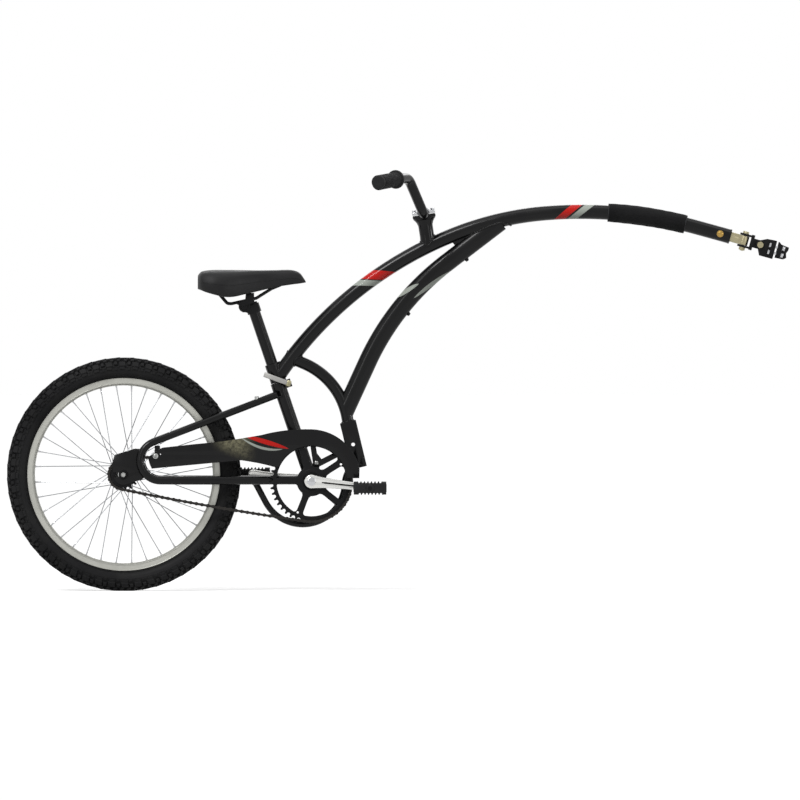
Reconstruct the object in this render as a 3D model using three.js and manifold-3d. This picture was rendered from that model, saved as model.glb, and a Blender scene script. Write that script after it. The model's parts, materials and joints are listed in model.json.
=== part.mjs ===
// Trailer bike: a one-wheeled half bicycle that a child pedals behind an adult's bicycle.
// The front frame, with the boom, handlebar and saddle, folds on a cross bolt at its channel foot.
// The rear frame carries the drivetrain and the wheel. The hitch clamps on the leading bike's seat post.
// Millimetres. X forward, Y to the left, Z up. Inside the bike group the origin is the rear axle.

import * as THREE from 'three';
import { mergeVertices } from 'three/addons/utils/BufferGeometryUtils.js';
import Module from 'manifold-3d';

const wasm = await Module();
wasm.setup();

// Clearances and cutters
const fitGap = 0.3;
const overrun = 6;
const cutterReach = 120;
const joinDepth = 1;

// Chain drive
const chainPitch = 12.7;
const chainLinks = 96;
const ringTeeth = 44;
const cogTeeth = 16;
const rollerRadius = 3.88;
const chainInnerWidth = 3.4;
const sidePlateThickness = 2;
const sidePlateWaist = 2.9;
const toothThickness = 2.4;
const toothTipRise = 3.4;
const toothRootHalf = 2.8;
const toothTipHalf = 1.1;
const chainline = 47;
const bbDrop = 14.7;
const cogBodyOutside = 4.5;
const cogBodyInside = 7;
const cogBodyWall = 6;

// Rear wheel
const tyreRadius = 257;
const tyreWidth = 54;
const treadDepth = 3;
const tyreSteps = 44;
const tyreDepth = 44;
const rimFlangeHeight = 7;
const rimDepth = 9;
const rimFlangeRadius = tyreRadius - tyreDepth;
const rimBedRadius = rimFlangeRadius - rimFlangeHeight;
const rimInnerRadius = rimBedRadius - rimDepth;
const rimWidth = 29;
const rimWall = 2;
const spokeCount = 36;
const spokeThickness = 2;
const spokeCrossing = 57;
const hubBarrelRadius = 14;
const hubFlangeRadius = 24;
const hubFlangeOffset = 29;
const hubFlangeThickness = 3.6;
const spokeStagger = 2.3;
const hubThreadRadius = 16;
const hubHalfWidth = 54;
const axleRadius = 5;
const axleHalfLength = 76;
const axleNutAcross = 15;
const axleNutThickness = 8;
const axleWasherRadius = 10;

// Rear frame
const seatAngle = 18.7;
const seatTubeRadius = 14.3;
const seatPostRadius = 12.7;
const seatTubeLength = 230.5;
const collarHeight = 18;
const collarWall = 3.6;
const collarEarReach = 27;
const collarEarWidth = 22;
const collarBoltOffset = 20.5;
const collarBoltRadius = 2.5;
const collarSlit = 3;
const skewerNutRadius = 6.5;
const skewerNutLength = 6;
const skewerTail = 2;
const leverStandoff = 7;
const leverTilt = 20;
const leverLength = 57;
const leverBow = 9.5;
const leverHalfWidth = 5.5;
const leverCamRadius = 6.2;
const leverCamHalf = 7;
const bbShellRadius = 20;
const bbShellHalfWidth = 34;
const bbBoreRadius = 17;
const bbLipRadius = 18.5;
const bbLipThickness = 3;
const bbTabRadius = 7.5;
const spindleRadius = 8.5;
const seatStayRadius = 7.95;
const chainStayRadius = 9.5;
const stayBendRadius = 43.6;
const stayJointDrop = 25.19;
const stayJointSetback = 11.77;
const stayFrontSpread = 18;
const chainStayFrontX = 400;
const chainStayHeight = -12.6;
const chainStaySpread = 24;
const stayCornerX = -154.6;
const stayCornerSpread = 92.9;
const bridgeClearance = 32.7;
const bridgeX = tyreRadius + bridgeClearance;
const bridgeHeight = -17;
const bridgeHalfLength = 27.5;
const loopTubeRadius = 7;
const loopHeading = -62;
const loopLead = 50;
const loopBendRadius = 93;
const loopTurn = 150;
const loopEaseRadius = 60;
const loopEaseTurn = -20;
const dropoutThickness = 5;
const dropoutRadius = 22;
const dropoutInset = 55.3;
const rackBossRadius = 4.4;
const rackBossHeight = 6;
const rackBossSetback = 48;

// Front frame
const boomRadius = 15.9;
const boomHeading = 55;
const boomTail = 20;
const boomRearRadius = 846;
const boomRearTurn = 33.5;
const boomMidRadius = 693;
const boomMidTurn = 16.6;
const boomFrontRadius = 968;
const boomFrontTurn = 20.3;
const boomNose = 76;
const sleeveRadius = 16.5;
const sleeveLength = 43;
const sleeveJointSetback = 9;
const lowerTubeHalfDepth = 20.4;
const lowerTubeHalfWidth = 15;
const lowerTubeFootX = 478.8;
const lowerTubeFootZ = 118;
const lowerTubeHeading = 65.4;
const lowerTubeFoot = 142;
const lowerTubeBendRadius = 585;
const lowerTubeTurn = 28;
const lowerTubeTop = 210;
const lowerBossRun = 142;
const bottleBossSpacing = 182;
const bottleBossRadius = 3.4;
const bottleBossHeight = 4;
const braceRadius = 13.2;
const braceHeading = 97;
const braceBendRadius = 160;
const braceTurn = 60;
const braceTop = 46;

// Fold joint
const pivotX = 507;
const pivotZ = 29;
const channelTilt = 13.5;
const channelDepth = 36;
const channelWall = 3;
const channelHalfWidth = 15;
const channelBelowPivot = 17;
const channelAbovePivot = 88;
const channelPivotInset = 9.3;
const channelSlotWidth = 16;
const channelSlotRise = 24;
const lockHoleRadius = 4.2;
const lockHoleX = 8.3;
const lockHoleZ = 36;
const foldBoltRadius = 4;
const foldBoltHead = 5;
const lugRadius = 9;

// Handlebar and its clamp
const barRadius = 11.1;
const barClampRun = 449.85;
const barClampRise = 70.29;
const barPostRadius = 16;
const barPostTilt = 8.5;
const barPostLength = 62;
const clampLength = 51;
const clampWidth = 38;
const clampCupHeight = 17;
const clampCapEdge = 6;
const clampCapWall = 5;
const clampBoltRadius = 4.6;
const clampBoltHead = 5;
const clampBoltX = 19.5;
const clampBoltY = 13;
const barCentreHalf = 37;
const barRiseX = -34;
const barRiseY = 86;
const barRiseZ = 80;
const barGripX = -58;
const barGripY = 140;
const barGripZ = 78;
const barTipX = -100;
const barTipY = 250;
const barTipZ = 70;
const barBendRadius = 30;
const gripLength = 112;
const gripRadius = 15.5;
const gripFlangeRadius = 20;
const gripFlangeWidth = 5;
const gripEndWall = 3;
const gripRibs = 2;
const gripSides = 10;

// Saddle and post
const postTopLength = 404;
const saddleLength = 238;
const saddleWidth = 155;
const saddleDepth = 60;
const saddleBaseThickness = 4;
const railRadius = 3.5;
const railSpread = 22;
const railSeat = 9.03;
const railSetback = 20.3;
const saddleClampWidth = 27;
const saddleYokeWidth = 14;
const clampKnobRadius = 13.5;
const clampKnobSetback = 18.5;
const clampKnobWidth = 17;
const clampKnobRise = 3;
const clampCollarWall = 2.8;
const clampCollarDrop = 12;
const clampCollarRise = 8;
const saddleClampReach = 36;
const saddleClampRise = 33;

// Cranks and pedals
const crankLength = 130;
const crankAngle = -6;
const crankBigRadius = 16;
const crankSmallRadius = 10.5;
const crankThickness = 12;
const crankInnerY = 60;
const crankGroove = 2.5;
const crankBossClearance = 6;
const spindleInset = 3;
const ringHubRadius = 27;
const ringWindowInner = 33;
const ringWindowOuter = 79;
const ringSpokes = 5;
const ringSpokeAngle = 33;
const ringSpokeHalf = 7;
const pedalLength = 73;
const pedalHeight = 29;
const pedalWidth = 92;
const pedalBarrelRadius = 10;
const pedalAxleRadius = 5.5;
const pedalFrameWall = 9;
const pedalTeeth = 5;
const pedalToothDepth = 2.6;
const pedalBarrelGap = 1;
const pedalStandoff = 3;
const pedalAxleTail = 6;

// Chain guard
const guardInnerY = 54.5;
const guardWall = 1.8;
const guardFlangeDepth = 19;
const guardOuterRadius = 112;
const guardInnerRadius = 79;
const guardShift = 3;
const guardLength = 360;
const guardFlangeEnd = 106;
const guardFlangeFoot = 16;
const guardBandInset = 18;
const guardScrewRadius = 5;
const guardScrewX = 11;
const guardScrewZ = 41;
const guardScrewLength = 12;
const rearBracketX = 346;
const rearBracketWidth = 12;
const rearBracketFoot = 40;
const rearBracketHeight = 39;
const bracketThickness = 3;

// Hitch, measured along the boom's nose from its front end
const hitchTilt = 15.4;
const insertRadius = 11.1;
const insertDepth = 60;
const insertReach = 18;
const crossBoltRadius = 3;
const crossBoltHead = 5.5;
const crossBoltSetback = 24;
const crossBoltHeadLength = 3.5;
const kingpinOffset = 31;
const barrelRadius = 10;
const barrelHalfHeight = 10.4;
const neckHalfWidth = 8;
const kingpinRadius = 4;
const kingpinHead = 5;
const kingpinNut = 7;
const kingpinTail = 1;
const yokeArmThickness = 4.6;
const yokeArmHalfWidth = 12;
const yokeWebStart = 45.3;
const yokeWebThickness = 7;
const yokeWebHalfHeight = 17;
const pitchPinOffset = 68;
const pitchLugRadius = 10;
const pitchLugHalfWidth = 9;
const pitchPinRadius = 4;
const pitchPinHead = 4;
const pitchPinSlack = 1;
const pitchLugClearance = 2.5;
const towEarWall = 6;
const towBoreOffset = 104;
const towBoreRadius = 14.6;
const towSplit = 5;
const towBodyHalfWidth = 28;
const towBodyFront = 131;
const towTop = 18;
const towBottom = 23;
const towCapTop = 13;
const towCapBottom = 17.8;
const towCorner = 6;
const towBodyFlange = 10;
const towCapNose = 14;
const towBoltRadius = 3;
const towBoltHead = 5;
const towBoltHeadLength = 5;
const towNutThickness = 4;
const towBoltY = 21.5;
const towBoltUpper = 4.6;
const towBoltLower = -9.5;

// Foam pad on the boom
const padSetback = 104;
const padLength = 171;
const padWall = 3.6;

const rad = THREE.MathUtils.degToRad;

function point(x, y, z) {
  return new THREE.Vector3(x, y, z);
}

// Colours and finishes
function finish(color, roughness, metalness) {
  return new THREE.MeshStandardMaterial({ color, roughness, metalness });
}

const blackPaint = finish(0x0b0b0d, 0.25, 0.1);
const blackSteel = finish(0x17171a, 0.45, 0.6);
const blackPlastic = finish(0x151516, 0.6, 0);
const rubber = finish(0x1c1c1d, 0.9, 0);
const foam = finish(0x101011, 0.95, 0);
const vinyl = finish(0x141415, 0.7, 0);
const silver = finish(0xc9cac8, 0.3, 0.9);
const chrome = finish(0xdedfe0, 0.12, 1);
const yellowZinc = finish(0x9c8f5e, 0.4, 0.9);
const brass = finish(0xc6a35c, 0.3, 0.9);
const chainSteel = finish(0x3a3733, 0.45, 0.8);

// A solid from any closed geometry, with its faces turned outwards
function solid(geometry) {
  const bare = new THREE.BufferGeometry();
  bare.setAttribute('position', geometry.getAttribute('position').clone());
  if (geometry.index) bare.setIndex(geometry.index.clone());
  const welded = mergeVertices(bare);
  const corners = welded.index.array;
  const kept = [];
  for (let i = 0; i < corners.length; i += 3) {
    const [a, b, c] = [corners[i], corners[i + 1], corners[i + 2]];
    if (a !== b && b !== c && c !== a) kept.push(a, b, c);
  }
  const vertProperties = Float32Array.from(welded.getAttribute('position').array);
  const build = (triVerts) => new wasm.Manifold(new wasm.Mesh({ numProp: 3, vertProperties, triVerts }));
  const made = build(Uint32Array.from(kept));
  return made.volume() > 0 ? made : build(Uint32Array.from(kept).reverse());
}

function geometryOf(body) {
  const { vertProperties, triVerts } = body.getMesh();
  const geometry = new THREE.BufferGeometry();
  geometry.setAttribute('position', new THREE.BufferAttribute(Float32Array.from(vertProperties), 3));
  geometry.setIndex(new THREE.BufferAttribute(Uint32Array.from(triVerts), 1));
  geometry.computeVertexNormals();
  return geometry;
}

function piece(name, body, material) {
  const mesh = new THREE.Mesh(geometryOf(body), material);
  mesh.name = name;
  return mesh;
}

function join(first, ...others) {
  return others.reduce((whole, other) => whole.add(other), first);
}

function cut(body, ...tools) {
  return tools.reduce((left, tool) => left.subtract(tool), body);
}

// The largest of the pieces that a cut leaves
function largest(body) {
  return body.decompose().reduce((best, part) => (part.volume() > best.volume() ? part : best));
}

function assembly(origin, tilt, ...children) {
  const group = new THREE.Group();
  group.position.copy(origin);
  group.rotation.y = rad(tilt);
  group.add(...children);
  return group;
}

// A round section of chosen sides, wider than deep if asked
function sectionPoints(sides, halfWidth, halfDepth = halfWidth) {
  return Array.from({ length: sides }, (_, i) => {
    const turn = (2 * Math.PI * (i + 0.5)) / sides;
    return new THREE.Vector2(halfWidth * Math.cos(turn), halfDepth * Math.sin(turn));
  });
}

// A rod or pipe between two points
function rod(from, to, radius, sides, bore = 0) {
  const shape = new THREE.Shape(sectionPoints(sides, radius));
  if (bore) shape.holes.push(new THREE.Path(sectionPoints(sides, bore)));
  const along = to.clone().sub(from);
  const geometry = new THREE.ExtrudeGeometry(shape, { depth: along.length(), bevelEnabled: false });
  const facing = new THREE.Quaternion().setFromUnitVectors(point(0, 0, 1), along.normalize());
  geometry.applyQuaternion(facing);
  geometry.translate(from.x, from.y, from.z);
  return solid(geometry);
}

function crossRod(x, z, fromY, toY, radius, sides, bore = 0) {
  return rod(point(x, fromY, z), point(x, toY, z), radius, sides, bore);
}

function box(minX, maxX, minY, maxY, minZ, maxZ) {
  const geometry = new THREE.BoxGeometry(maxX - minX, maxY - minY, maxZ - minZ);
  geometry.translate((minX + maxX) / 2, (minY + maxY) / 2, (minZ + maxZ) / 2);
  return solid(geometry);
}

// A side-view outline in X and Z, given thickness from one Y to another
function slab(shape, fromY, toY) {
  const geometry = new THREE.ExtrudeGeometry(shape, { depth: toY - fromY, bevelEnabled: false, curveSegments: 6 });
  geometry.rotateX(Math.PI / 2);
  geometry.translate(0, toY, 0);
  return solid(geometry);
}

// A top-view outline in X and Y, given height from one Z to another
function prism(shape, fromZ, toZ) {
  const geometry = new THREE.ExtrudeGeometry(shape, { depth: toZ - fromZ, bevelEnabled: false, curveSegments: 6 });
  geometry.translate(0, 0, fromZ);
  return solid(geometry);
}

function outline(points) {
  return new THREE.Shape(points.map(([x, y]) => new THREE.Vector2(x, y)));
}

// A turned piece: radius and height pairs, its axis along Y
function turned(profile, sides) {
  const closed = profile[0][0] > 0 ? [...profile, profile[0]] : profile;
  return solid(new THREE.LatheGeometry(closed.map(([r, h]) => new THREE.Vector2(r, h)), sides));
}

// A bent tube's centre line in the plane of the wheel: straight runs and bends, left turns positive
class BendPath extends THREE.Curve {
  constructor(start, heading, runs) {
    super();
    this.start = start;
    this.heading = rad(heading);
    this.runs = runs.map(({ run, radius, turn }) => (
      run === undefined ? { run: radius * Math.abs(rad(turn)), turn: rad(turn) } : { run, turn: 0 }
    ));
    this.length = this.runs.reduce((sum, { run }) => sum + run, 0);
  }

  at(distance) {
    let { x, z } = this.start;
    let { heading } = this;
    let left = distance;
    for (const { run, turn } of this.runs) {
      const step = Math.min(left, run);
      const bend = (turn * step) / run;
      const chord = bend === 0 ? step : (2 * Math.sin(bend / 2) * step) / bend;
      x += chord * Math.cos(heading + bend / 2);
      z += chord * Math.sin(heading + bend / 2);
      heading += bend;
      left -= step;
    }
    return { x, z, heading };
  }

  getPoint(t) {
    const { x, z } = this.at(t * this.length);
    return point(x, 0, z);
  }
}

// A stretch of a bent tube's centre line
class Stretch extends THREE.Curve {
  constructor(path, from, to) {
    super();
    this.path = path;
    this.from = from;
    this.to = to;
  }

  getPoint(t) {
    const { x, z } = this.path.at(this.from + t * (this.to - this.from));
    return point(x, 0, z);
  }
}

// Straight runs between points in space, with a true arc at each corner
class Bend extends THREE.Curve {
  constructor(before, corner, after, radius) {
    super();
    const back = before.clone().sub(corner).normalize();
    const on = after.clone().sub(corner).normalize();
    const half = back.angleTo(on) / 2;
    this.reach = radius / Math.tan(half);
    this.radius = radius;
    this.sweep = Math.PI - 2 * half;
    this.centre = corner.clone().addScaledVector(back.clone().add(on).normalize(), radius / Math.sin(half));
    this.entry = corner.clone().addScaledVector(back, this.reach);
    this.exit = corner.clone().addScaledVector(on, this.reach);
    this.outward = this.entry.clone().sub(this.centre).normalize();
    this.along = back.negate();
  }

  getPoint(t) {
    const turn = t * this.sweep;
    return this.centre.clone()
      .addScaledVector(this.outward, this.radius * Math.cos(turn))
      .addScaledVector(this.along, this.radius * Math.sin(turn));
  }
}

function bentThrough(points, radius) {
  const path = new THREE.CurvePath();
  let last = points[0];
  for (let i = 1; i < points.length - 1; i += 1) {
    const bend = new Bend(last, points[i], points[i + 1], radius);
    path.add(new THREE.LineCurve3(last, bend.entry));
    path.add(bend);
    last = bend.exit;
  }
  path.add(new THREE.LineCurve3(last, points.at(-1)));
  return path;
}

// A tube of one section along a path
function tube(path, steps, sides, halfWidth, halfDepth = halfWidth, bore = 0) {
  const shape = new THREE.Shape(sectionPoints(sides, halfWidth, halfDepth));
  if (bore) shape.holes.push(new THREE.Path(sectionPoints(sides, bore)));
  return solid(new THREE.ExtrudeGeometry(shape, { steps, extrudePath: path, bevelEnabled: false }));
}

// A closed skin through rings of equally many points, capped at both ends
function loft(rings) {
  const count = rings[0].length;
  const corners = rings.flat();
  const faces = [];
  for (let i = 0; i < rings.length - 1; i += 1) {
    for (let j = 0; j < count; j += 1) {
      const next = (j + 1) % count;
      const [a, b] = [i * count + j, i * count + next];
      faces.push(a, b, b + count, a, b + count, a + count);
    }
  }
  const middle = (ring) => ring.reduce((sum, p) => sum.add(p), point(0, 0, 0)).divideScalar(count);
  const start = corners.length;
  corners.push(middle(rings[0]), middle(rings.at(-1)));
  const far = (rings.length - 1) * count;
  for (let j = 0; j < count; j += 1) {
    const next = (j + 1) % count;
    faces.push(start, next, j, start + 1, far + j, far + next);
  }
  const geometry = new THREE.BufferGeometry().setFromPoints(corners);
  geometry.setIndex(faces);
  return solid(geometry);
}

// A closed skin through rings of equally many points, the last joined to the first
function ringSkin(rings) {
  const count = rings[0].length;
  const faces = [];
  rings.forEach((_, i) => {
    const on = ((i + 1) % rings.length) * count;
    for (let j = 0; j < count; j += 1) {
      const [a, b] = [i * count + j, i * count + ((j + 1) % count)];
      const [c, d] = [on + j, on + ((j + 1) % count)];
      faces.push(a, b, d, a, d, c);
    }
  });
  const geometry = new THREE.BufferGeometry().setFromPoints(rings.flat());
  geometry.setIndex(faces);
  return solid(geometry);
}

// A round tube through bends, with rings only where it starts, bends and ends, tapering if asked
function sweptTube(path, bendSteps, sides, startRadius, endRadius = startRadius) {
  const centres = path.getPoints(bendSteps)
    .filter((centre, i, all) => i === 0 || centre.distanceTo(all[i - 1]) > fitGap);
  const total = path.getLength();
  let out = null;
  let heading = null;
  let travelled = 0;
  return loft(centres.map((centre, i) => {
    const before = centres[Math.max(i - 1, 0)];
    const after = centres[Math.min(i + 1, centres.length - 1)];
    const along = after.clone().sub(before).normalize();
    if (out) out.applyQuaternion(new THREE.Quaternion().setFromUnitVectors(heading, along));
    else out = point(along.y, -along.x, 0).normalize();
    heading = along;
    travelled += centre.distanceTo(before);
    const across = new THREE.Vector3().crossVectors(along, out);
    const radius = THREE.MathUtils.lerp(startRadius, endRadius, travelled / total);
    return sectionPoints(sides, radius).map(({ x, y }) => (
      centre.clone().addScaledVector(out, x).addScaledVector(across, y)
    ));
  }));
}

// The radius of a bore whose flats clear a shaft of the given radius
function clearOf(radius, sides) {
  return (radius + fitGap) / Math.cos(Math.PI / sides);
}

// Chain loop: the centre distance follows from the links, so that every tooth finds its roller
const pitchRadius = (teeth) => chainPitch / (2 * Math.sin(Math.PI / teeth));
const ringPitchRadius = pitchRadius(ringTeeth);
const cogPitchRadius = pitchRadius(cogTeeth);

function chainSpans(distance) {
  const lean = Math.asin((ringPitchRadius - cogPitchRadius) / distance);
  return {
    lean,
    ringPitches: ((Math.PI + 2 * lean) * ringTeeth) / (2 * Math.PI),
    cogPitches: ((Math.PI - 2 * lean) * cogTeeth) / (2 * Math.PI),
    runPitches: (distance * Math.cos(lean)) / chainPitch,
  };
}

function centreDistance() {
  let [near, far] = [ringPitchRadius + cogPitchRadius, (chainLinks * chainPitch) / 2];
  for (let i = 0; i < 60; i += 1) {
    const middle = (near + far) / 2;
    const { ringPitches, cogPitches, runPitches } = chainSpans(middle);
    if (ringPitches + cogPitches + 2 * runPitches < chainLinks) near = middle;
    else far = middle;
  }
  return (near + far) / 2;
}

const axleToCrank = centreDistance();
const spans = chainSpans(axleToCrank);
const bbX = Math.sqrt(axleToCrank ** 2 - bbDrop ** 2);
const bbZ = -bbDrop;
const chainSlope = Math.atan2(bbZ, bbX);

// A place on the chain, counted in links from where the upper run meets the ring
function chainPlace(link) {
  const { lean, ringPitches, cogPitches, runPitches } = spans;
  let left = ((link % chainLinks) + chainLinks) % chainLinks;
  const onRing = Math.PI / 2 + lean;
  const place = (cx, radius, angle) => ({
    x: cx + radius * Math.cos(angle),
    z: radius * Math.sin(angle),
    normal: angle,
  });
  let spot;
  if (left <= ringPitches) {
    spot = place(axleToCrank, ringPitchRadius, onRing - (left * 2 * Math.PI) / ringTeeth);
  } else if ((left -= ringPitches) <= runPitches) {
    const from = place(axleToCrank, ringPitchRadius, -onRing);
    const to = place(0, cogPitchRadius, -onRing);
    const share = left / runPitches;
    spot = { x: from.x + (to.x - from.x) * share, z: from.z + (to.z - from.z) * share, normal: -onRing };
  } else if ((left -= runPitches) <= cogPitches) {
    spot = place(0, cogPitchRadius, -onRing - (left * 2 * Math.PI) / cogTeeth);
  } else {
    left -= cogPitches;
    const from = place(0, cogPitchRadius, onRing);
    const to = place(axleToCrank, ringPitchRadius, onRing);
    const share = left / runPitches;
    spot = { x: from.x + (to.x - from.x) * share, z: from.z + (to.z - from.z) * share, normal: onRing };
  }
  const [c, s] = [Math.cos(chainSlope), Math.sin(chainSlope)];
  return { x: spot.x * c - spot.z * s, z: spot.x * s + spot.z * c, normal: spot.normal + chainSlope };
}

// Two rows of waisted side plates and the rollers between them, as one closed skin. At each pin the
// roller's four edges meet the plates' inner faces, above, ahead, below and behind.
function chain() {
  const stations = Array.from({ length: 2 * chainLinks }, (_, i) => ({ pin: i % 2 === 0, ...chainPlace(i / 2) }));
  const inner = chainInnerWidth / 2;
  const outer = inner + sidePlateThickness;
  const corners = [];
  const add = ({ x, z, normal }, out, along, y) => corners.push(point(
    x + out * Math.cos(normal) + along * Math.sin(normal), y, z + out * Math.sin(normal) - along * Math.cos(normal),
  )) - 1;
  const rows = [-1, 1].map((side) => stations.map((station) => {
    const half = station.pin ? rollerRadius : sidePlateWaist;
    const row = { side, pin: station.pin };
    [[half, side * inner], [half, side * outer], [-half, side * outer], [-half, side * inner]].forEach(
      ([out, y], k) => { row[['topIn', 'topOut', 'lowOut', 'lowIn'][k]] = add(station, out, 0, y); },
    );
    if (station.pin) {
      row.ahead = add(station, 0, rollerRadius, side * inner);
      row.behind = add(station, 0, -rollerRadius, side * inner);
    }
    return row;
  }));
  const faces = [];
  const face = (side, a, b, c) => faces.push(...(side > 0 ? [a, b, c] : [a, c, b]));
  const quad = (side, a, b, c, d) => {
    face(side, a, b, c);
    face(side, a, c, d);
  };
  for (const row of rows) {
    row.forEach((here, i) => {
      const next = row[(i + 1) % row.length];
      quad(here.side, here.topIn, here.topOut, next.topOut, next.topIn);
      quad(here.side, here.topOut, here.lowOut, next.lowOut, next.topOut);
      quad(here.side, here.lowOut, here.lowIn, next.lowIn, next.lowOut);
      const edge = here.pin ? here.ahead : next.behind;
      face(here.side, here.topIn, next.topIn, edge);
      face(here.side, next.lowIn, here.lowIn, edge);
      if (here.pin) face(here.side, next.topIn, next.lowIn, edge);
      else face(here.side, here.lowIn, here.topIn, edge);
    });
  }
  rows[0].forEach((near, i) => {
    if (!near.pin) return;
    const far = rows[1][i];
    const ring = (end) => [end.topIn, end.ahead, end.lowIn, end.behind];
    const [a, b] = [ring(near), ring(far)];
    a.forEach((_, k) => {
      const on = (k + 1) % a.length;
      quad(1, a[k], b[k], b[on], a[on]);
    });
  });
  const geometry = new THREE.BufferGeometry().setFromPoints(corners);
  geometry.setIndex(faces);
  return solid(geometry).translate([0, -chainline, 0]);
}

// Teeth whose valleys hold the rollers, the first valley at the given angle
function toothedOutline(teeth, radius, firstValley) {
  const root = radius - rollerRadius - fitGap;
  const tip = radius + toothTipRise;
  const points = [];
  for (let i = 0; i < teeth; i += 1) {
    const valley = firstValley + (2 * Math.PI * i) / teeth;
    const rootHalf = toothRootHalf / root;
    const tipHalf = Math.PI / teeth - toothTipHalf / tip;
    for (const [r, a] of [[tip, -tipHalf], [root, -rootHalf], [root, rootHalf], [tip, tipHalf]]) {
      points.push([r * Math.cos(valley + a), r * Math.sin(valley + a)]);
    }
  }
  return outline(points);
}

function ringPath(radius, sides, cx = 0, cz = 0) {
  const points = sectionPoints(sides, radius).map(({ x, y }) => new THREE.Vector2(x + cx, y + cz));
  return new THREE.Path(points);
}

// Rear wheel, about its axle
function tyre() {
  const half = tyreWidth / 2;
  const bedHalf = rimWidth / 2 - rimWall - fitGap;
  const crown = tyreRadius - rimFlangeRadius;
  const bed = clearOf(rimBedRadius, tyreSteps);
  const brim = clearOf(rimFlangeRadius, tyreSteps);
  const section = [
    [-bedHalf, bed, 0], [-bedHalf, brim, 0],
    [-half, rimFlangeRadius + crown * 0.38, 0], [-half * 0.93, rimFlangeRadius + crown * 0.7, 0.5],
    [-half * 0.62, tyreRadius - crown * 0.12, 1], [0, tyreRadius, 1],
    [half * 0.62, tyreRadius - crown * 0.12, 1], [half * 0.93, rimFlangeRadius + crown * 0.7, 0.5],
    [half, rimFlangeRadius + crown * 0.38, 0], [bedHalf, brim, 0], [bedHalf, bed, 0],
  ];
  return ringSkin(Array.from({ length: tyreSteps }, (_, i) => {
    const turn = (2 * Math.PI * i) / tyreSteps;
    return section.map(([y, radius, tread], j) => {
      const sunk = (i + j) % 2 ? tread * treadDepth : 0;
      return point((radius - sunk) * Math.cos(turn), y, (radius - sunk) * Math.sin(turn));
    });
  }));
}

const rimSides = 32;

function rim() {
  const half = rimWidth / 2;
  return turned([
    [rimInnerRadius, -half * 0.7], [rimInnerRadius, half * 0.7], [rimFlangeRadius, half],
    [rimFlangeRadius, half - rimWall], [rimBedRadius, half - rimWall], [rimBedRadius, rimWall - half],
    [rimFlangeRadius, rimWall - half], [rimFlangeRadius, -half],
  ], rimSides);
}

function hub() {
  const bore = clearOf(axleRadius, 12);
  const flangeIn = hubFlangeOffset - hubFlangeThickness / 2;
  const flangeOut = hubFlangeOffset + hubFlangeThickness / 2;
  const shell = turned([
    [bore, -hubHalfWidth], [hubThreadRadius, -hubHalfWidth], [hubThreadRadius, -flangeOut],
    [hubFlangeRadius, -flangeOut], [hubFlangeRadius, -flangeIn], [hubBarrelRadius, -flangeIn + hubFlangeThickness],
    [hubBarrelRadius, flangeIn - hubFlangeThickness], [hubFlangeRadius, flangeIn], [hubFlangeRadius, flangeOut],
    [hubBarrelRadius, flangeOut], [hubBarrelRadius * 0.85, hubHalfWidth], [bore, hubHalfWidth],
  ], 14);
  const tipRadius = rimInnerRadius * Math.cos(Math.PI / rimSides) - fitGap * 2;
  const rootRadius = hubFlangeRadius - spokeThickness * 1.5;
  const spokes = Array.from({ length: spokeCount }, (_, i) => {
    const side = i % 2 ? 1 : -1;
    const leading = Math.floor(i / 2) % 2 ? 1 : -1;
    const atRim = (2 * Math.PI * (i + 0.5)) / spokeCount;
    const atHub = atRim + leading * rad(spokeCrossing);
    const rootY = side * (hubFlangeOffset + leading * spokeStagger);
    return rod(
      point(rootRadius * Math.cos(atHub), rootY, rootRadius * Math.sin(atHub)),
      point(tipRadius * Math.cos(atRim), (side * spokeThickness * 3) / 2, tipRadius * Math.sin(atRim)),
      spokeThickness * 0.6, 3,
    );
  });
  return join(shell, wasm.Manifold.union(spokes));
}

const cogOuterY = chainline + cogBodyOutside;
const cogInnerY = chainline - cogBodyInside;

function rearCog() {
  const bore = clearOf(hubThreadRadius, 16);
  const startLink = Math.ceil(spans.ringPitches + spans.runPitches);
  const seat = chainPlace(startLink);
  const teeth = toothedOutline(cogTeeth, cogPitchRadius, Math.atan2(seat.z, seat.x));
  teeth.holes.push(ringPath(bore, 16));
  const half = toothThickness / 2;
  const plate = slab(teeth, -chainline - half, -chainline + half);
  const drum = crossRod(0, 0, -cogOuterY, -cogInnerY, bore + cogBodyWall, 16, bore);
  return join(plate, drum);
}

function axleNut(side) {
  const plate = dropoutInset + dropoutThickness + fitGap;
  const washer = axleNutThickness * 0.25;
  const [a, b, c] = [plate, plate + washer, plate + axleNutThickness].map((y) => side * y);
  const bore = axleRadius + fitGap;
  return cut(
    join(crossRod(0, 0, a, b, axleWasherRadius, 12), crossRod(0, 0, b, c, axleNutAcross / Math.sqrt(3), 6)),
    crossRod(0, 0, a - side * overrun, c + side * overrun, bore, 12),
  );
}

// Rear frame, about the rear axle
const seatDirection = point(-Math.sin(rad(seatAngle)), 0, Math.cos(rad(seatAngle)));
const bottomBracket = point(bbX, 0, bbZ);

function onSeatAxis(distance) {
  return bottomBracket.clone().addScaledVector(seatDirection, distance);
}

const bbCutter = crossRod(bbX, bbZ, -cutterReach, cutterReach, bbShellRadius + fitGap, 24);
const seatBore = seatPostRadius + fitGap;

function seatTube() {
  const pipe = rod(onSeatAxis(0), onSeatAxis(seatTubeLength), seatTubeRadius, 20, seatBore);
  return largest(cut(pipe, bbCutter));
}

const seatTubeCutter = rod(
  onSeatAxis(0), onSeatAxis(seatTubeLength + overrun), seatTubeRadius + fitGap, 20,
);

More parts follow.
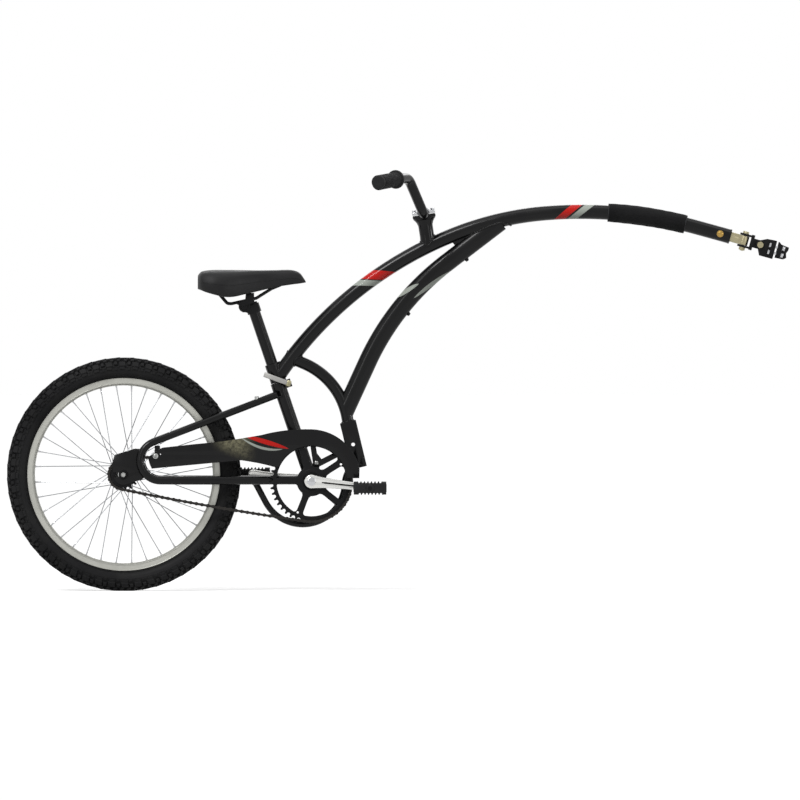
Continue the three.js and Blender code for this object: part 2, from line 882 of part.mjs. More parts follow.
// The shell, with the tab for the chain guard's bracket
function bbShell() {
  const shell = crossRod(0, 0, -bbShellHalfWidth, bbShellHalfWidth, bbShellRadius, 20);
  const tab = new THREE.Shape();
  tab.absarc(guardScrewX, guardScrewZ, bbTabRadius, rad(165), rad(-15), true);
  tab.lineTo(bbShellRadius * 0.7, 0);
  tab.lineTo(-bbShellRadius * 0.6, 0);
  const y = -guardInnerY + guardFlangeDepth + bracketThickness + 2 * fitGap;
  const screw = crossRod(guardScrewX, guardScrewZ, -cutterReach, cutterReach,
    clearOf(guardScrewRadius / 2, 8), 8);
  const bore = crossRod(0, 0, -cutterReach, cutterReach, clearOf(bbBoreRadius, 16), 16);
  return cut(join(shell, slab(tab, y, y + bracketThickness)), screw, bore).translate([bbX, 0, bbZ]);
}

function bbCartridge() {
  const half = bbShellHalfWidth + fitGap;
  const lip = half + bbLipThickness;
  const body = turned([
    [clearOf(spindleRadius, 16), -lip], [bbLipRadius, -lip], [bbLipRadius, -half], [bbBoreRadius, -half],
    [bbBoreRadius, half], [bbLipRadius, half], [bbLipRadius, lip], [clearOf(spindleRadius, 16), lip],
  ], 14);
  return body.translate([bbX, 0, bbZ]);
}

const stayJoint = onSeatAxis(seatTubeLength - stayJointDrop)
  .addScaledVector(point(seatDirection.z, 0, -seatDirection.x), -stayJointSetback);
const seatStayFront = (side) => point(stayJoint.x, side * stayFrontSpread, stayJoint.z);

function stayPath(side) {
  return bentThrough([
    seatStayFront(side),
    point(stayCornerX, side * stayCornerSpread, chainStayHeight),
    point(chainStayFrontX, side * chainStaySpread, chainStayHeight),
  ], stayBendRadius);
}

function stay(side) {
  const pipe = sweptTube(stayPath(side), 5, 10, seatStayRadius, chainStayRadius);
  const path = stayPath(side);
  const spot = path.getPointAt(rackBossSetback / path.getLength());
  const boss = rod(
    spot, spot.clone().add(point(0, 0, seatStayRadius + rackBossHeight)), rackBossRadius, 8,
  );
  return largest(cut(join(pipe, boss), seatTubeCutter, bbCutter));
}

const stayCutter = (side) => sweptTube(
  stayPath(side), 5, 10, seatStayRadius + fitGap, chainStayRadius + fitGap,
);

function dropout(side) {
  const shape = new THREE.Shape();
  const bendX = stayBendRadius * 0.98;
  shape.moveTo(-dropoutRadius * 0.9, dropoutRadius * 1.95);
  shape.lineTo(bendX * 0.55, dropoutRadius * 2.55);
  shape.lineTo(bendX, dropoutRadius * 2.5);
  shape.lineTo(bendX, -dropoutRadius * 0.45);
  shape.lineTo(dropoutRadius * 0.4, -dropoutRadius * 0.92);
  shape.absarc(0, 0, dropoutRadius, rad(-67), rad(-180), true);
  shape.lineTo(-dropoutRadius * 1.15, dropoutRadius);
  const [near, far] = [side * dropoutInset, side * (dropoutInset + dropoutThickness)];
  const plate = slab(shape, Math.min(near, far), Math.max(near, far));
  const slotHalf = axleRadius + fitGap;
  const mouth = box(-dropoutRadius * 2, 0, Math.min(near, far) - overrun, Math.max(near, far) + overrun,
    -slotHalf, slotHalf);
  const hole = crossRod(0, 0, near - side * overrun, far + side * overrun, slotHalf, 16);
  return largest(cut(plate, mouth, hole, stayCutter(side)));
}

const foldPivot = point(pivotX, 0, pivotZ);
const lugHalfWidth = channelHalfWidth - channelWall - fitGap;

function loopTube() {
  const path = new BendPath({ x: bridgeX, z: bridgeHeight }, loopHeading, [
    { run: loopLead }, { radius: loopBendRadius, turn: loopTurn }, { radius: loopEaseRadius, turn: loopEaseTurn },
  ]);
  const { x, z } = path.at(path.length);
  const top = point(x, 0, z);
  const reach = top.distanceTo(foldPivot);
  const whole = new THREE.CurvePath();
  whole.add(path);
  whole.add(new THREE.LineCurve3(top, top.clone().lerp(foldPivot, (reach - foldBoltRadius - fitGap) / reach)));
  const pipe = tube(whole, 14, 8, loopTubeRadius);
  const bridge = crossRod(bridgeX, bridgeHeight, -bridgeHalfLength, bridgeHalfLength, loopTubeRadius, 8);
  const lug = crossRod(foldPivot.x, foldPivot.z, -lugHalfWidth, lugHalfWidth, lugRadius, 16);
  const bore = crossRod(foldPivot.x, foldPivot.z, -cutterReach, cutterReach, foldBoltRadius + fitGap, 12);
  return largest(cut(join(pipe, bridge, lug), bore, stayCutter(-1), stayCutter(1)));
}

function foldBolt() {
  const half = channelHalfWidth + fitGap;
  const head = half + foldBoltHead;
  return join(
    crossRod(foldPivot.x, foldPivot.z, -head, head, foldBoltRadius, 12),
    crossRod(foldPivot.x, foldPivot.z, -head, -half, foldBoltRadius * 1.75, 6),
    crossRod(foldPivot.x, foldPivot.z, half, head, foldBoltRadius * 1.75, 6),
  );
}

// Quick release on the seat tube, in the seat tube's own frame: Z up the tube, X forward
const collarTop = seatTubeLength - fitGap;
const collarMiddle = collarTop - collarHeight / 2;
const collarRadius = seatTubeRadius + fitGap + collarWall;

function seatCollar() {
  const half = collarEarWidth / 2;
  const shape = new THREE.Shape(sectionPoints(16, collarRadius));
  const band = prism(shape, collarTop - collarHeight, collarTop);
  const ears = box(seatTubeRadius, collarEarReach, -half, half, collarTop - collarHeight, collarTop);
  const bore = rod(point(0, 0, collarTop - collarHeight - overrun), point(0, 0, collarTop + overrun),
    seatTubeRadius + fitGap, 20);
  const slit = box(seatTubeRadius - overrun, collarEarReach + overrun, -collarSlit / 2, collarSlit / 2,
    collarTop - collarHeight - overrun, collarTop + overrun);
  const boltHole = crossRod(collarBoltOffset, collarMiddle, -cutterReach, cutterReach,
    collarBoltRadius + fitGap, 10);
  return cut(join(band, ears), bore, slit, boltHole);
}

const leverY = collarEarWidth / 2 + leverStandoff;

function seatSkewer() {
  const ear = collarEarWidth / 2 + fitGap;
  const nut = join(
    crossRod(collarBoltOffset, collarMiddle, ear, ear + skewerNutLength, skewerNutRadius, 10),
    crossRod(collarBoltOffset, collarMiddle, -ear - fitGap, ear + skewerNutLength + skewerTail, collarBoltRadius, 10),
  );
  return nut;
}

// The lever about its cam: the cam's axis is Z, the arm reaches back along X
function quickLever() {
  const arm = new THREE.Shape();
  const bend = -leverLength * 0.56;
  arm.moveTo(0, -leverCamRadius * 0.97);
  arm.lineTo(-leverLength * 0.14, -leverBow * 0.79);
  arm.quadraticCurveTo(bend, -leverBow, -leverLength * 0.98, -leverBow * 0.42);
  arm.lineTo(-leverLength, -leverBow * 0.11);
  arm.quadraticCurveTo(bend, -leverBow * 0.53, -leverLength * 0.14, -leverBow * 0.21);
  arm.lineTo(0, leverCamRadius * 0.65);
  const blade = prism(arm, -leverHalfWidth, leverHalfWidth);
  const cam = rod(point(0, 0, -leverCamHalf), point(0, 0, leverCamHalf), leverCamRadius, 12);
  return join(blade, cam);
}

// Front frame, about the rear axle
const sleeveBottom = seatTubeLength + fitGap;
const boomRoot = onSeatAxis(sleeveBottom + sleeveJointSetback);
const boomPath = new BendPath(boomRoot, boomHeading, [
  { run: boomTail }, { radius: boomRearRadius, turn: -boomRearTurn }, { radius: boomMidRadius, turn: -boomMidTurn },
  { radius: boomFrontRadius, turn: -boomFrontTurn }, { run: boomNose },
]);
const boomSteps = 14;
const boomCutter = tube(boomPath, boomSteps, 12, boomRadius + fitGap);
const boomEnd = boomPath.at(boomPath.length);

function seatSleeve() {
  return rod(onSeatAxis(sleeveBottom), onSeatAxis(sleeveBottom + sleeveLength), sleeveRadius, 20, seatBore);
}

function boomTube() {
  const sleeveSpace = rod(onSeatAxis(sleeveBottom - cutterReach), onSeatAxis(sleeveBottom + cutterReach),
    sleeveRadius + fitGap, 20);
  const below = rod(onSeatAxis(sleeveBottom - cutterReach), onSeatAxis(sleeveBottom), cutterReach, 8);
  const socketTop = boomPath.at(boomPath.length - insertDepth - 2 * fitGap);
  const socket = rod(point(socketTop.x, 0, socketTop.z), beyondBoom(overrun), insertRadius + fitGap, 14);
  const bolt = boomCrossHole(crossBoltRadius + fitGap);
  return largest(cut(tube(boomPath, boomSteps, 12, boomRadius), sleeveSpace, below, socket, bolt));
}

function beyondBoom(distance) {
  const { x, z, heading } = boomEnd;
  return point(x + distance * Math.cos(heading), 0, z + distance * Math.sin(heading));
}

function boomCrossHole(radius) {
  const { x, z } = beyondBoom(-crossBoltSetback);
  return crossRod(x, z, -cutterReach, cutterReach, radius, 10);
}

const channelFrame = {
  across: point(Math.cos(rad(channelTilt)), 0, Math.sin(rad(channelTilt))),
  up: point(-Math.sin(rad(channelTilt)), 0, Math.cos(rad(channelTilt))),
};

function inChannel(across, up) {
  return foldPivot.clone().addScaledVector(channelFrame.across, across).addScaledVector(channelFrame.up, up);
}

const braceStart = inChannel(channelDepth / 2 - channelPivotInset, channelAbovePivot + fitGap);
const bracePath = new BendPath(braceStart, braceHeading, [
  { radius: braceBendRadius, turn: braceTurn }, { run: braceTop },
]);
const braceCutter = tube(bracePath, 7, 12, braceRadius + fitGap);

function channelTopCutter() {
  const [a, b] = [inChannel(-cutterReach, channelAbovePivot + fitGap), inChannel(cutterReach, channelAbovePivot + fitGap)];
  const down = channelFrame.up.clone().multiplyScalar(-cutterReach);
  const corners = [a, b, b.clone().add(down), a.clone().add(down)].map(({ x, z }) => [x, z]);
  return slab(outline(corners), -cutterReach, cutterReach);
}

function braceTube() {
  return largest(cut(tube(bracePath, 7, 12, braceRadius), boomCutter, channelTopCutter()));
}

const lowerTubePath = new BendPath({ x: lowerTubeFootX, z: lowerTubeFootZ }, lowerTubeHeading, [
  { run: lowerTubeFoot }, { radius: lowerTubeBendRadius, turn: -lowerTubeTurn }, { run: lowerTubeTop },
]);

// Everything on one side of a path's centre line
function besidePath(path, shiftX, shiftZ) {
  const line = Array.from({ length: 13 }, (_, i) => path.at((path.length * i) / 12));
  const far = line.map(({ x, z }) => [x + shiftX, z + shiftZ]).reverse();
  return slab(outline([...line.map(({ x, z }) => [x, z]), ...far]), -cutterReach, cutterReach);
}

function lowerTube() {
  const pipe = tube(lowerTubePath, 10, 12, lowerTubeHalfWidth, lowerTubeHalfDepth);
  const lowest = lowerTubeFoot + lowerBossRun;
  const bosses = [lowest, lowest + bottleBossSpacing].map((distance) => {
    const { x, z, heading } = lowerTubePath.at(distance);
    const out = point(Math.sin(heading), 0, -Math.cos(heading));
    const from = point(x, 0, z);
    return rod(from, from.clone().addScaledVector(out, lowerTubeHalfDepth + bottleBossHeight), bottleBossRadius, 8);
  });
  const aboveBoom = besidePath(boomPath, 0, cutterReach * 2);
  const behindBrace = besidePath(bracePath, -cutterReach, 0);
  return largest(cut(
    join(pipe, ...bosses), aboveBoom, behindBrace, boomCutter, braceCutter, channelTopCutter(),
  ));
}

function foldChannel() {
  const rear = -channelPivotInset;
  const front = channelDepth - channelPivotInset;
  const body = box(rear, front, -channelHalfWidth, channelHalfWidth, -channelBelowPivot, channelAbovePivot);
  const inside = channelHalfWidth - channelWall;
  const hollow = box(rear - overrun, front - channelWall, -inside, inside,
    -channelBelowPivot - overrun, channelAbovePivot - channelWall);
  const slot = box(front - channelWall - overrun, front + overrun, -channelSlotWidth / 2, channelSlotWidth / 2,
    -channelBelowPivot - overrun, channelSlotRise);
  const bolt = crossRod(0, 0, -cutterReach, cutterReach, foldBoltRadius + fitGap, 12);
  const lock = crossRod(lockHoleX, lockHoleZ, -cutterReach, cutterReach, lockHoleRadius, 12);
  return cut(body, hollow, slot, bolt, lock);
}

// Handlebar clamp, about the bar's centre, Z up the post
const clampFoot = boomPath.at(barClampRun);
const clampCentre = point(
  clampFoot.x - barClampRise * Math.sin(rad(barPostTilt)), 0, clampFoot.z + barClampRise * Math.cos(rad(barPostTilt)),
);

function barPost() {
  const half = clampLength / 2;
  const neck = barPostRadius;
  const flare = loft([
    [-clampCupHeight, neck * 1.02, neck * 0.98], [-clampCupHeight * 0.72, half * 0.8, clampWidth * 0.45],
    [-clampCupHeight * 0.45, half, clampWidth / 2], [-fitGap, half, clampWidth / 2],
  ].map(([z, a, b]) => sectionPoints(16, a, b).map(({ x, y }) => {
    const square = 0.35 + 0.65 * Math.max(0, (z + clampCupHeight) / clampCupHeight);
    const grow = 1 + 0.22 * square * Math.abs(Math.sin(2 * Math.atan2(y, x)));
    return point(THREE.MathUtils.clamp(x * grow, -a, a), THREE.MathUtils.clamp(y * grow, -b, b), z);
  })));
  const post = rod(point(0, 0, -barPostLength), point(0, 0, -clampCupHeight / 2), barPostRadius, 16);
  const groove = crossRod(0, 0, -cutterReach, cutterReach, barRadius + fitGap, 16);
  const upright = cut(join(post, flare), groove);
  const lean = new THREE.Matrix4().makeRotationY(rad(-barPostTilt)).setPosition(clampCentre);
  const inverse = lean.clone().invert();
  return largest(upright.subtract(boomCutter.transform(inverse.toArray())));
}

function barCap() {
  const half = clampLength / 2;
  const wide = clampWidth / 2;
  const arch = barRadius + clampCapWall;
  const shape = new THREE.Shape();
  shape.moveTo(-half, fitGap);
  shape.lineTo(half, fitGap);
  shape.lineTo(half, clampCapEdge);
  shape.lineTo(arch, clampCapEdge * 1.25);
  shape.absarc(0, 0, arch, rad(26), rad(154), false);
  shape.lineTo(-half, clampCapEdge);
  const cap = slab(shape, -wide, wide);
  const heads = [-1, 1].flatMap((a) => [-1, 1].map((b) => rod(
    point(a * clampBoltX, b * clampBoltY, clampCapEdge / 2),
    point(a * clampBoltX, b * clampBoltY, clampCapEdge + clampBoltHead),
    clampBoltRadius, 8,
  )));
  return cut(join(cap, ...heads), crossRod(0, 0, -cutterReach, cutterReach, barRadius + fitGap, 16));
}

function barPath() {
  const corners = [
    [barTipX, -barTipY, barTipZ], [barGripX, -barGripY, barGripZ], [barRiseX, -barRiseY, barRiseZ],
    [0, -barCentreHalf, 0], [0, barCentreHalf, 0],
    [barRiseX, barRiseY, barRiseZ], [barGripX, barGripY, barGripZ], [barTipX, barTipY, barTipZ],
  ];
  return bentThrough(corners.map(([x, y, z]) => point(x, y, z)), barBendRadius);
}

function handlebar() {
  return sweptTube(barPath(), 3, 8, barRadius);
}

function grip(side) {
  const tip = point(barTipX, side * barTipY, barTipZ);
  const inner = point(barGripX, side * barGripY, barGripZ);
  const along = tip.clone().sub(inner).normalize();
  const end = tip.clone().addScaledVector(along, fitGap + gripEndWall);
  const start = end.clone().addScaledVector(along, -gripLength);
  const bore = clearOf(barRadius, gripSides);
  const profile = [[0, gripLength], [gripRadius * 0.93, gripLength], [gripRadius, gripLength - gripEndWall]];
  const ribPitch = (gripLength - gripFlangeWidth - gripEndWall * 4) / gripRibs;
  for (let i = 0; i < gripRibs; i += 1) {
    const top = gripLength - gripEndWall * 3 - i * ribPitch;
    profile.push([gripRadius, top], [gripRadius * 0.9, top - ribPitch * 0.3], [gripRadius, top - ribPitch * 0.6]);
  }
  profile.push([gripFlangeRadius, gripFlangeWidth], [gripFlangeRadius, 0], [bore, 0]);
  profile.push([bore, gripLength - gripEndWall], [0, gripLength - gripEndWall]);
  const geometry = new THREE.LatheGeometry(profile.map(([r, h]) => new THREE.Vector2(r, h)), gripSides);
  geometry.applyQuaternion(new THREE.Quaternion().setFromUnitVectors(point(0, 1, 0), along));
  geometry.translate(start.x, start.y, start.z);
  return solid(geometry);
}

// Seat post and saddle, about the rear axle
function seatPost() {
  return rod(onSeatAxis(sleeveBottom + fitGap), onSeatAxis(postTopLength), seatPostRadius, 20);
}

// Stations from tail to nose: shares of the length, of the half width, and of the depth
// by which the top and the skirt lie below the saddle's highest line
const saddleStationShares = [
  [0, 0.64, 0.2, 0.71], [0.03, 0.83, 0.07, 0.75], [0.08, 0.94, 0.02, 0.83], [0.16, 1, 0, 0.92],
  [0.25, 0.97, 0, 1], [0.34, 0.83, 0, 0.99], [0.45, 0.61, 0, 0.89], [0.57, 0.43, 0, 0.78],
  [0.72, 0.33, 0, 0.64], [0.86, 0.3, 0, 0.55], [0.94, 0.27, 0.1, 0.51], [0.985, 0.2, 0.33, 0.48],
  [1, 0.12, 0.43, 0.47],
];

// Half of the pad's section, from the crown round the side to the recess underneath
const padSectionShares = [
  [0, 1], [0.42, 0.985], [0.74, 0.9], [0.93, 0.68], [1, 0.42], [0.97, 0.14], [0.9, 0], [0.82, 0.03],
  [0.76, 0.26], [0, 0.3],
];

// One side of the rail wire: shares of the saddle's length, of the rail spread and of the depth
const railStationShares = [
  [0.157, 1, 0.71], [0.272, 1, 1.24], [0.31, 1, 1.25], [0.54, 1, 1.05], [0.68, 0.62, 0.7], [0.76, 0.35, 0.57],
];

// The rails lie on the clamp at the post's top, and the pad above them
const postTop = onSeatAxis(postTopLength);
const [railLow, railHigh] = [railStationShares[2], railStationShares[3]];
const saddleTopZ = postTop.z + railSeat + saddleDepth * railLow[2];
const saddleRearX = postTop.x - railSetback - (saddleLength * (railLow[0] + railHigh[0])) / 2;

function saddleRing([along, wide, top, skirt], section) {
  const half = (saddleWidth / 2) * wide;
  const low = saddleTopZ - saddleDepth * skirt;
  const height = saddleDepth * (skirt - top);
  const at = (side) => ([share, rise, lift = 0]) => point(
    saddleRearX + saddleLength * along, side * half * share, low + height * rise + lift,
  );
  return [...section.map(at(1)), ...section.slice(1, -1).reverse().map(at(-1))];
}

function saddlePad() {
  return loft(saddleStationShares.map((station) => saddleRing(station, padSectionShares)));
}

// Half of the moulded base's section, in the pad's recess, with what it lies below the recess
const baseSection = [
  [0, 0.3, -2 * fitGap], [0.7, 0.27, -2 * fitGap], [0.7, 0.27, -saddleBaseThickness],
  [0, 0.3, -saddleBaseThickness],
];

function saddleBase() {
  const plate = loft(saddleStationShares.slice(2, -3).map((station) => saddleRing(station, baseSection)));
  return largest(cut(plate, railWire(railRadius + fitGap)));
}

function railPoint([along, spread, depth], side) {
  return point(
    saddleRearX + saddleLength * along, side * railSpread * spread, saddleTopZ - saddleDepth * depth,
  );
}

function railWire(radius) {
  const along = (side) => railStationShares.map((station) => railPoint(station, side));
  const corners = [...along(1), ...along(-1).reverse()];
  return sweptTube(bentThrough(corners, railRadius * 2), 2, 6, radius);
}

// Cranks and pedals, about the bottom bracket, the arms along X
function crankSpindle() {
  const end = crankInnerY + crankThickness - spindleInset;
  return crossRod(0, 0, -end, end, spindleRadius, 16);
}

function crankArm(side) {
  const shape = new THREE.Shape();
  const reach = side < 0 ? crankLength : -crankLength;
  const lean = Math.asin((crankBigRadius - crankSmallRadius) / crankLength);
  if (side < 0) {
    shape.absarc(0, 0, crankBigRadius, Math.PI / 2 - lean, -Math.PI / 2 + lean, false);
    shape.absarc(reach, 0, crankSmallRadius, -Math.PI / 2 + lean, Math.PI / 2 - lean, false);
  } else {
    shape.absarc(0, 0, crankBigRadius, -Math.PI / 2 - lean, Math.PI / 2 + lean, false);
    shape.absarc(reach, 0, crankSmallRadius, Math.PI / 2 + lean, -Math.PI / 2 - lean, false);
  }
  const [inner, outer] = [crankInnerY, crankInnerY + crankThickness];
  const low = side < 0 ? -outer : inner;
  const blank = slab(shape, low, low + crankThickness);
  const bossIn = toothThickness / 2 + chainline + fitGap;
  const boss = side < 0
    ? crossRod(0, 0, -inner - joinDepth, -bossIn, crankBigRadius * 0.95, 16)
    : crossRod(0, 0, bbShellHalfWidth + bbLipThickness + crankBossClearance, inner + joinDepth, crankBigRadius * 0.95, 16);
  const grooveFrom = crankBigRadius * 1.1;
  const grooveTo = crankLength - crankSmallRadius * 1.8;
  const grooveHalf = crankSmallRadius * 0.42;
  const along = side < 0 ? [grooveFrom, grooveTo] : [-grooveTo, -grooveFrom];
  const face = side * outer;
  const groove = box(along[0], along[1], Math.min(face - side * crankGroove, face + side * overrun),
    Math.max(face - side * crankGroove, face + side * overrun), -grooveHalf, grooveHalf);
  const taper = crossRod(0, 0, -cutterReach, cutterReach, clearOf(spindleRadius, 12), 12);
  const eye = crossRod(reach, 0, -cutterReach, cutterReach, clearOf(pedalAxleRadius, 8), 8);
  return cut(join(blank, boss), groove, taper, eye);
}

function chainring() {
  const seat = chainPlace(Math.floor(spans.ringPitches / 2));
  const valley = Math.atan2(seat.z - bbZ, seat.x - bbX);
  const shape = toothedOutline(ringTeeth, ringPitchRadius, valley);
  shape.holes.push(ringPath(spindleRadius + fitGap, 16));
  for (let i = 0; i < ringSpokes; i += 1) {
    const spoke = rad(ringSpokeAngle) + (2 * Math.PI * i) / ringSpokes;
    const next = spoke + (2 * Math.PI) / ringSpokes;
    const window = new THREE.Path();
    const spread = (radius, half) => Math.asin(half / radius);
    const from = spoke + spread(ringWindowOuter, ringSpokeHalf * 1.5);
    const to = next - spread(ringWindowOuter, ringSpokeHalf * 1.5);
    for (let k = 0; k <= 4; k += 1) {
      const a = from + ((to - from) * k) / 4;
      const radius = k === 0 || k === 4 ? ringWindowOuter * 0.96 : ringWindowOuter;
      const [x, z] = [radius * Math.cos(a), radius * Math.sin(a)];
      if (k === 0) window.moveTo(x, z);
      else window.lineTo(x, z);
    }
    for (const a of [next - spread(ringWindowInner, ringSpokeHalf), spoke + spread(ringWindowInner, ringSpokeHalf)]) {
      window.lineTo(ringWindowInner * Math.cos(a), ringWindowInner * Math.sin(a));
    }
    shape.holes.push(window);
  }
  const half = toothThickness / 2;
  return slab(shape, -chainline - half, -chainline + half);
}

function pedal() {
  const [halfX, halfZ, halfY] = [pedalLength / 2, pedalHeight / 2, pedalWidth / 2];
  const points = [];
  const tooth = (pedalLength * 0.84) / pedalTeeth;
  for (let i = 0; i < pedalTeeth; i += 1) {
    const x = -halfX * 0.84 + tooth * i;
    points.push([x, halfZ], [x + tooth * 0.5, halfZ], [x + tooth * 0.75, halfZ - pedalToothDepth]);
  }
  points.push([halfX * 0.84, halfZ], [halfX, halfZ * 0.45], [halfX, -halfZ * 0.45]);
  for (let i = pedalTeeth - 1; i >= 0; i -= 1) {
    const x = -halfX * 0.84 + tooth * i;
    points.push([x + tooth, -halfZ], [x + tooth * 0.5, -halfZ], [x + tooth * 0.25, pedalToothDepth - halfZ]);
  }
  points.push([-halfX * 0.84, -halfZ], [-halfX, -halfZ * 0.45], [-halfX, halfZ * 0.45]);
  const body = slab(outline(points), -halfY, halfY);
  const wall = pedalFrameWall;
  const window = (from, to) => box(from, to, -halfY + wall, halfY - wall, -halfZ - overrun, halfZ + overrun);
  const gap = pedalBarrelRadius + pedalBarrelGap;
  const hollowed = cut(body, window(gap, halfX - wall), window(wall - halfX, -gap));
  const waist = [-1, 1].map((s) => box(-gap, gap, -halfY + wall, halfY - wall,
    Math.min(s * pedalBarrelRadius, s * (halfZ + overrun)), Math.max(s * pedalBarrelRadius, s * (halfZ + overrun))));
  const bore = crossRod(0, 0, -cutterReach, cutterReach, pedalAxleRadius + fitGap, 12);
  return cut(hollowed, ...waist, bore);
}

function pedalAxle(side) {
  const near = side * (crankInnerY + joinDepth);
  const far = side * (crankInnerY + crankThickness + pedalWidth + pedalAxleTail);
  return crossRod(0, 0, near, far, pedalAxleRadius, 12);
}

// Chain guard, about the bottom bracket. Places on its long tail: shares of the guard's length and outer radius
const guardTailShares = [[-0.979, 0.25], [-1, 0.441], [-0.944, 0.62], [-0.911, 0.666], [-0.539, 0.788], [-0.308, 0.912]];
const guardBellyShares = [[-0.306, 0.357], [-0.431, 0.415]];

function guardOutline(inset) {
  const outer = guardOuterRadius - inset;
  const at = ([along, up], lift) => [guardLength * along, guardOuterRadius * up + lift];
  const [foot, tail, ...top] = guardTailShares;
  const [tailX, tailZ] = at(tail, 0);
  const [pull, belly] = guardBellyShares.map((shares) => at(shares, inset));
  const lip = guardOuterRadius * 0.0625 + inset;
  const shape = new THREE.Shape();
  shape.moveTo(...at(foot, inset));
  shape.lineTo(tailX + inset, tailZ);
  for (const shares of top) shape.lineTo(...at(shares, -inset));
  shape.quadraticCurveTo(-guardOuterRadius * 0.536, (outer + guardShift) * 1.009, -guardShift, outer + guardShift);
  shape.absarc(-guardShift, guardShift, outer, rad(90), rad(13), true);
  shape.lineTo(outer * 0.942, lip);
  shape.lineTo(guardInnerRadius, lip);
  shape.absarc(0, 0, guardInnerRadius, rad(5), rad(156), false);
  shape.lineTo(-guardInnerRadius * 1.063, guardInnerRadius * 0.405 + inset);
  shape.quadraticCurveTo(...pull, ...belly);
  return shape;
}

function chainguard() {
  const face = slab(guardOutline(0), -guardInnerY - guardWall, -guardInnerY);
  const band = slab(guardOutline(0), -guardInnerY - guardWall, -guardInnerY + guardFlangeDepth);
  const hollow = slab(guardOutline(guardWall), -guardInnerY, -guardInnerY + guardFlangeDepth + overrun);
  const rear = box(-guardLength - overrun, -guardFlangeEnd, -guardInnerY, -guardInnerY + guardFlangeDepth + overrun,
    -cutterReach, cutterReach * 2);
  const inside = crossRod(0, 0, -guardInnerY, -guardInnerY + guardFlangeDepth + overrun, guardInnerRadius + guardBandInset, 32);
  const mouth = box(-cutterReach, cutterReach, -guardInnerY, -guardInnerY + guardFlangeDepth + overrun,
    -cutterReach, guardFlangeFoot);
  return join(face, largest(cut(band, hollow, rear, inside, mouth)));
}

// The front bracket's outline, in shares of the guard's outer radius
const frontBracketShares = [
  [-0.071, 1.009], [0.036, 1.009], [0.107, 0.554], [0.196, 0.438], [0.714, 0.705], [0.777, 0.607], [0.152, 0.286],
  [0.036, 0.295],
];

function guardFrontBracket() {
  const plate = outline(frontBracketShares.map((place) => place.map((share) => share * guardOuterRadius)));
  const y = -guardInnerY + guardFlangeDepth + fitGap;
  const hole = crossRod(guardScrewX, guardScrewZ, y - overrun, y + bracketThickness + overrun,
    clearOf(guardScrewRadius / 2, 8), 8);
  return cut(slab(plate, y, y + bracketThickness), hole);
}

function guardScrew() {
  const y = -guardInnerY + guardFlangeDepth;
  return join(
    crossRod(guardScrewX, guardScrewZ, y - bracketThickness, y, guardScrewRadius, 10),
    crossRod(guardScrewX, guardScrewZ, y - bracketThickness, y + guardScrewLength, guardScrewRadius / 2, 8),
  );
}

function guardRearBracket() {
  const y = -guardInnerY + fitGap;
  return box(-rearBracketX, rearBracketWidth - rearBracketX, y, y + bracketThickness,
    rearBracketFoot, rearBracketFoot + rearBracketHeight);
}

// Hitch, from the boom's front end, X along the nose
function hitchTongue() {
  const insert = rod(point(-insertDepth, 0, 0), point(insertReach, 0, 0), insertRadius, 14);
  const neck = box(0, kingpinOffset, -neckHalfWidth, neckHalfWidth, -barrelHalfHeight, barrelHalfHeight);
  const barrel = rod(point(kingpinOffset, 0, -barrelHalfHeight), point(kingpinOffset, 0, barrelHalfHeight), barrelRadius, 16);
  const bore = rod(point(kingpinOffset, 0, -cutterReach), point(kingpinOffset, 0, cutterReach), kingpinRadius + fitGap, 12);
  const bolt = crossRod(-crossBoltSetback, 0, -cutterReach, cutterReach, crossBoltRadius + fitGap, 10);
  return cut(join(insert, neck, barrel), bore, bolt);
}

function tongueBolt() {
  const half = boomRadius + fitGap;
  const head = half + crossBoltHeadLength;
  return join(
    crossRod(-crossBoltSetback, 0, -head, head, crossBoltRadius, 10),
    crossRod(-crossBoltSetback, 0, -head, -half, crossBoltHead, 10),
    crossRod(-crossBoltSetback, 0, half, head, crossBoltHead, 6),
  );
}

function hitchYoke() {
  const armIn = barrelHalfHeight + fitGap;
  const armOut = armIn + yokeArmThickness;
  const webEnd = yokeWebStart + yokeWebThickness;
  const arm = new THREE.Shape();
  arm.moveTo(webEnd, yokeArmHalfWidth);
  arm.lineTo(kingpinOffset, yokeArmHalfWidth);
  arm.absarc(kingpinOffset, 0, yokeArmHalfWidth, rad(90), rad(270), false);
  arm.lineTo(webEnd, -yokeArmHalfWidth);
  const top = prism(arm, armIn, armOut);
  const bottom = prism(arm, -armOut, -armIn);
  const web = box(yokeWebStart, webEnd, -yokeArmHalfWidth, yokeArmHalfWidth, -yokeWebHalfHeight, yokeWebHalfHeight);
  const lug = join(
    box(webEnd - joinDepth, pitchPinOffset, -pitchLugHalfWidth, pitchLugHalfWidth, -pitchLugRadius, pitchLugRadius),
    crossRod(pitchPinOffset, 0, -pitchLugHalfWidth, pitchLugHalfWidth, pitchLugRadius, 16),
  );
  const kingBore = rod(point(kingpinOffset, 0, -cutterReach), point(kingpinOffset, 0, cutterReach),
    kingpinRadius + fitGap, 12);
  const pinBore = crossRod(pitchPinOffset, 0, -cutterReach, cutterReach, pitchPinRadius + fitGap, 12);
  return cut(join(top, bottom, web, lug), kingBore, pinBore);
}

function kingpin() {
  const face = barrelHalfHeight + yokeArmThickness + 2 * fitGap;
  const at = (z) => point(kingpinOffset, 0, z);
  return join(
    rod(at(-face - kingpinNut - kingpinTail), at(face + kingpinHead), kingpinRadius, 12),
    rod(at(face), at(face + kingpinHead), kingpinRadius * 1.7, 6),
    rod(at(-face - kingpinNut), at(-face), kingpinRadius * 1.7, 6),
  );
}

const towEarInner = pitchLugHalfWidth + fitGap;

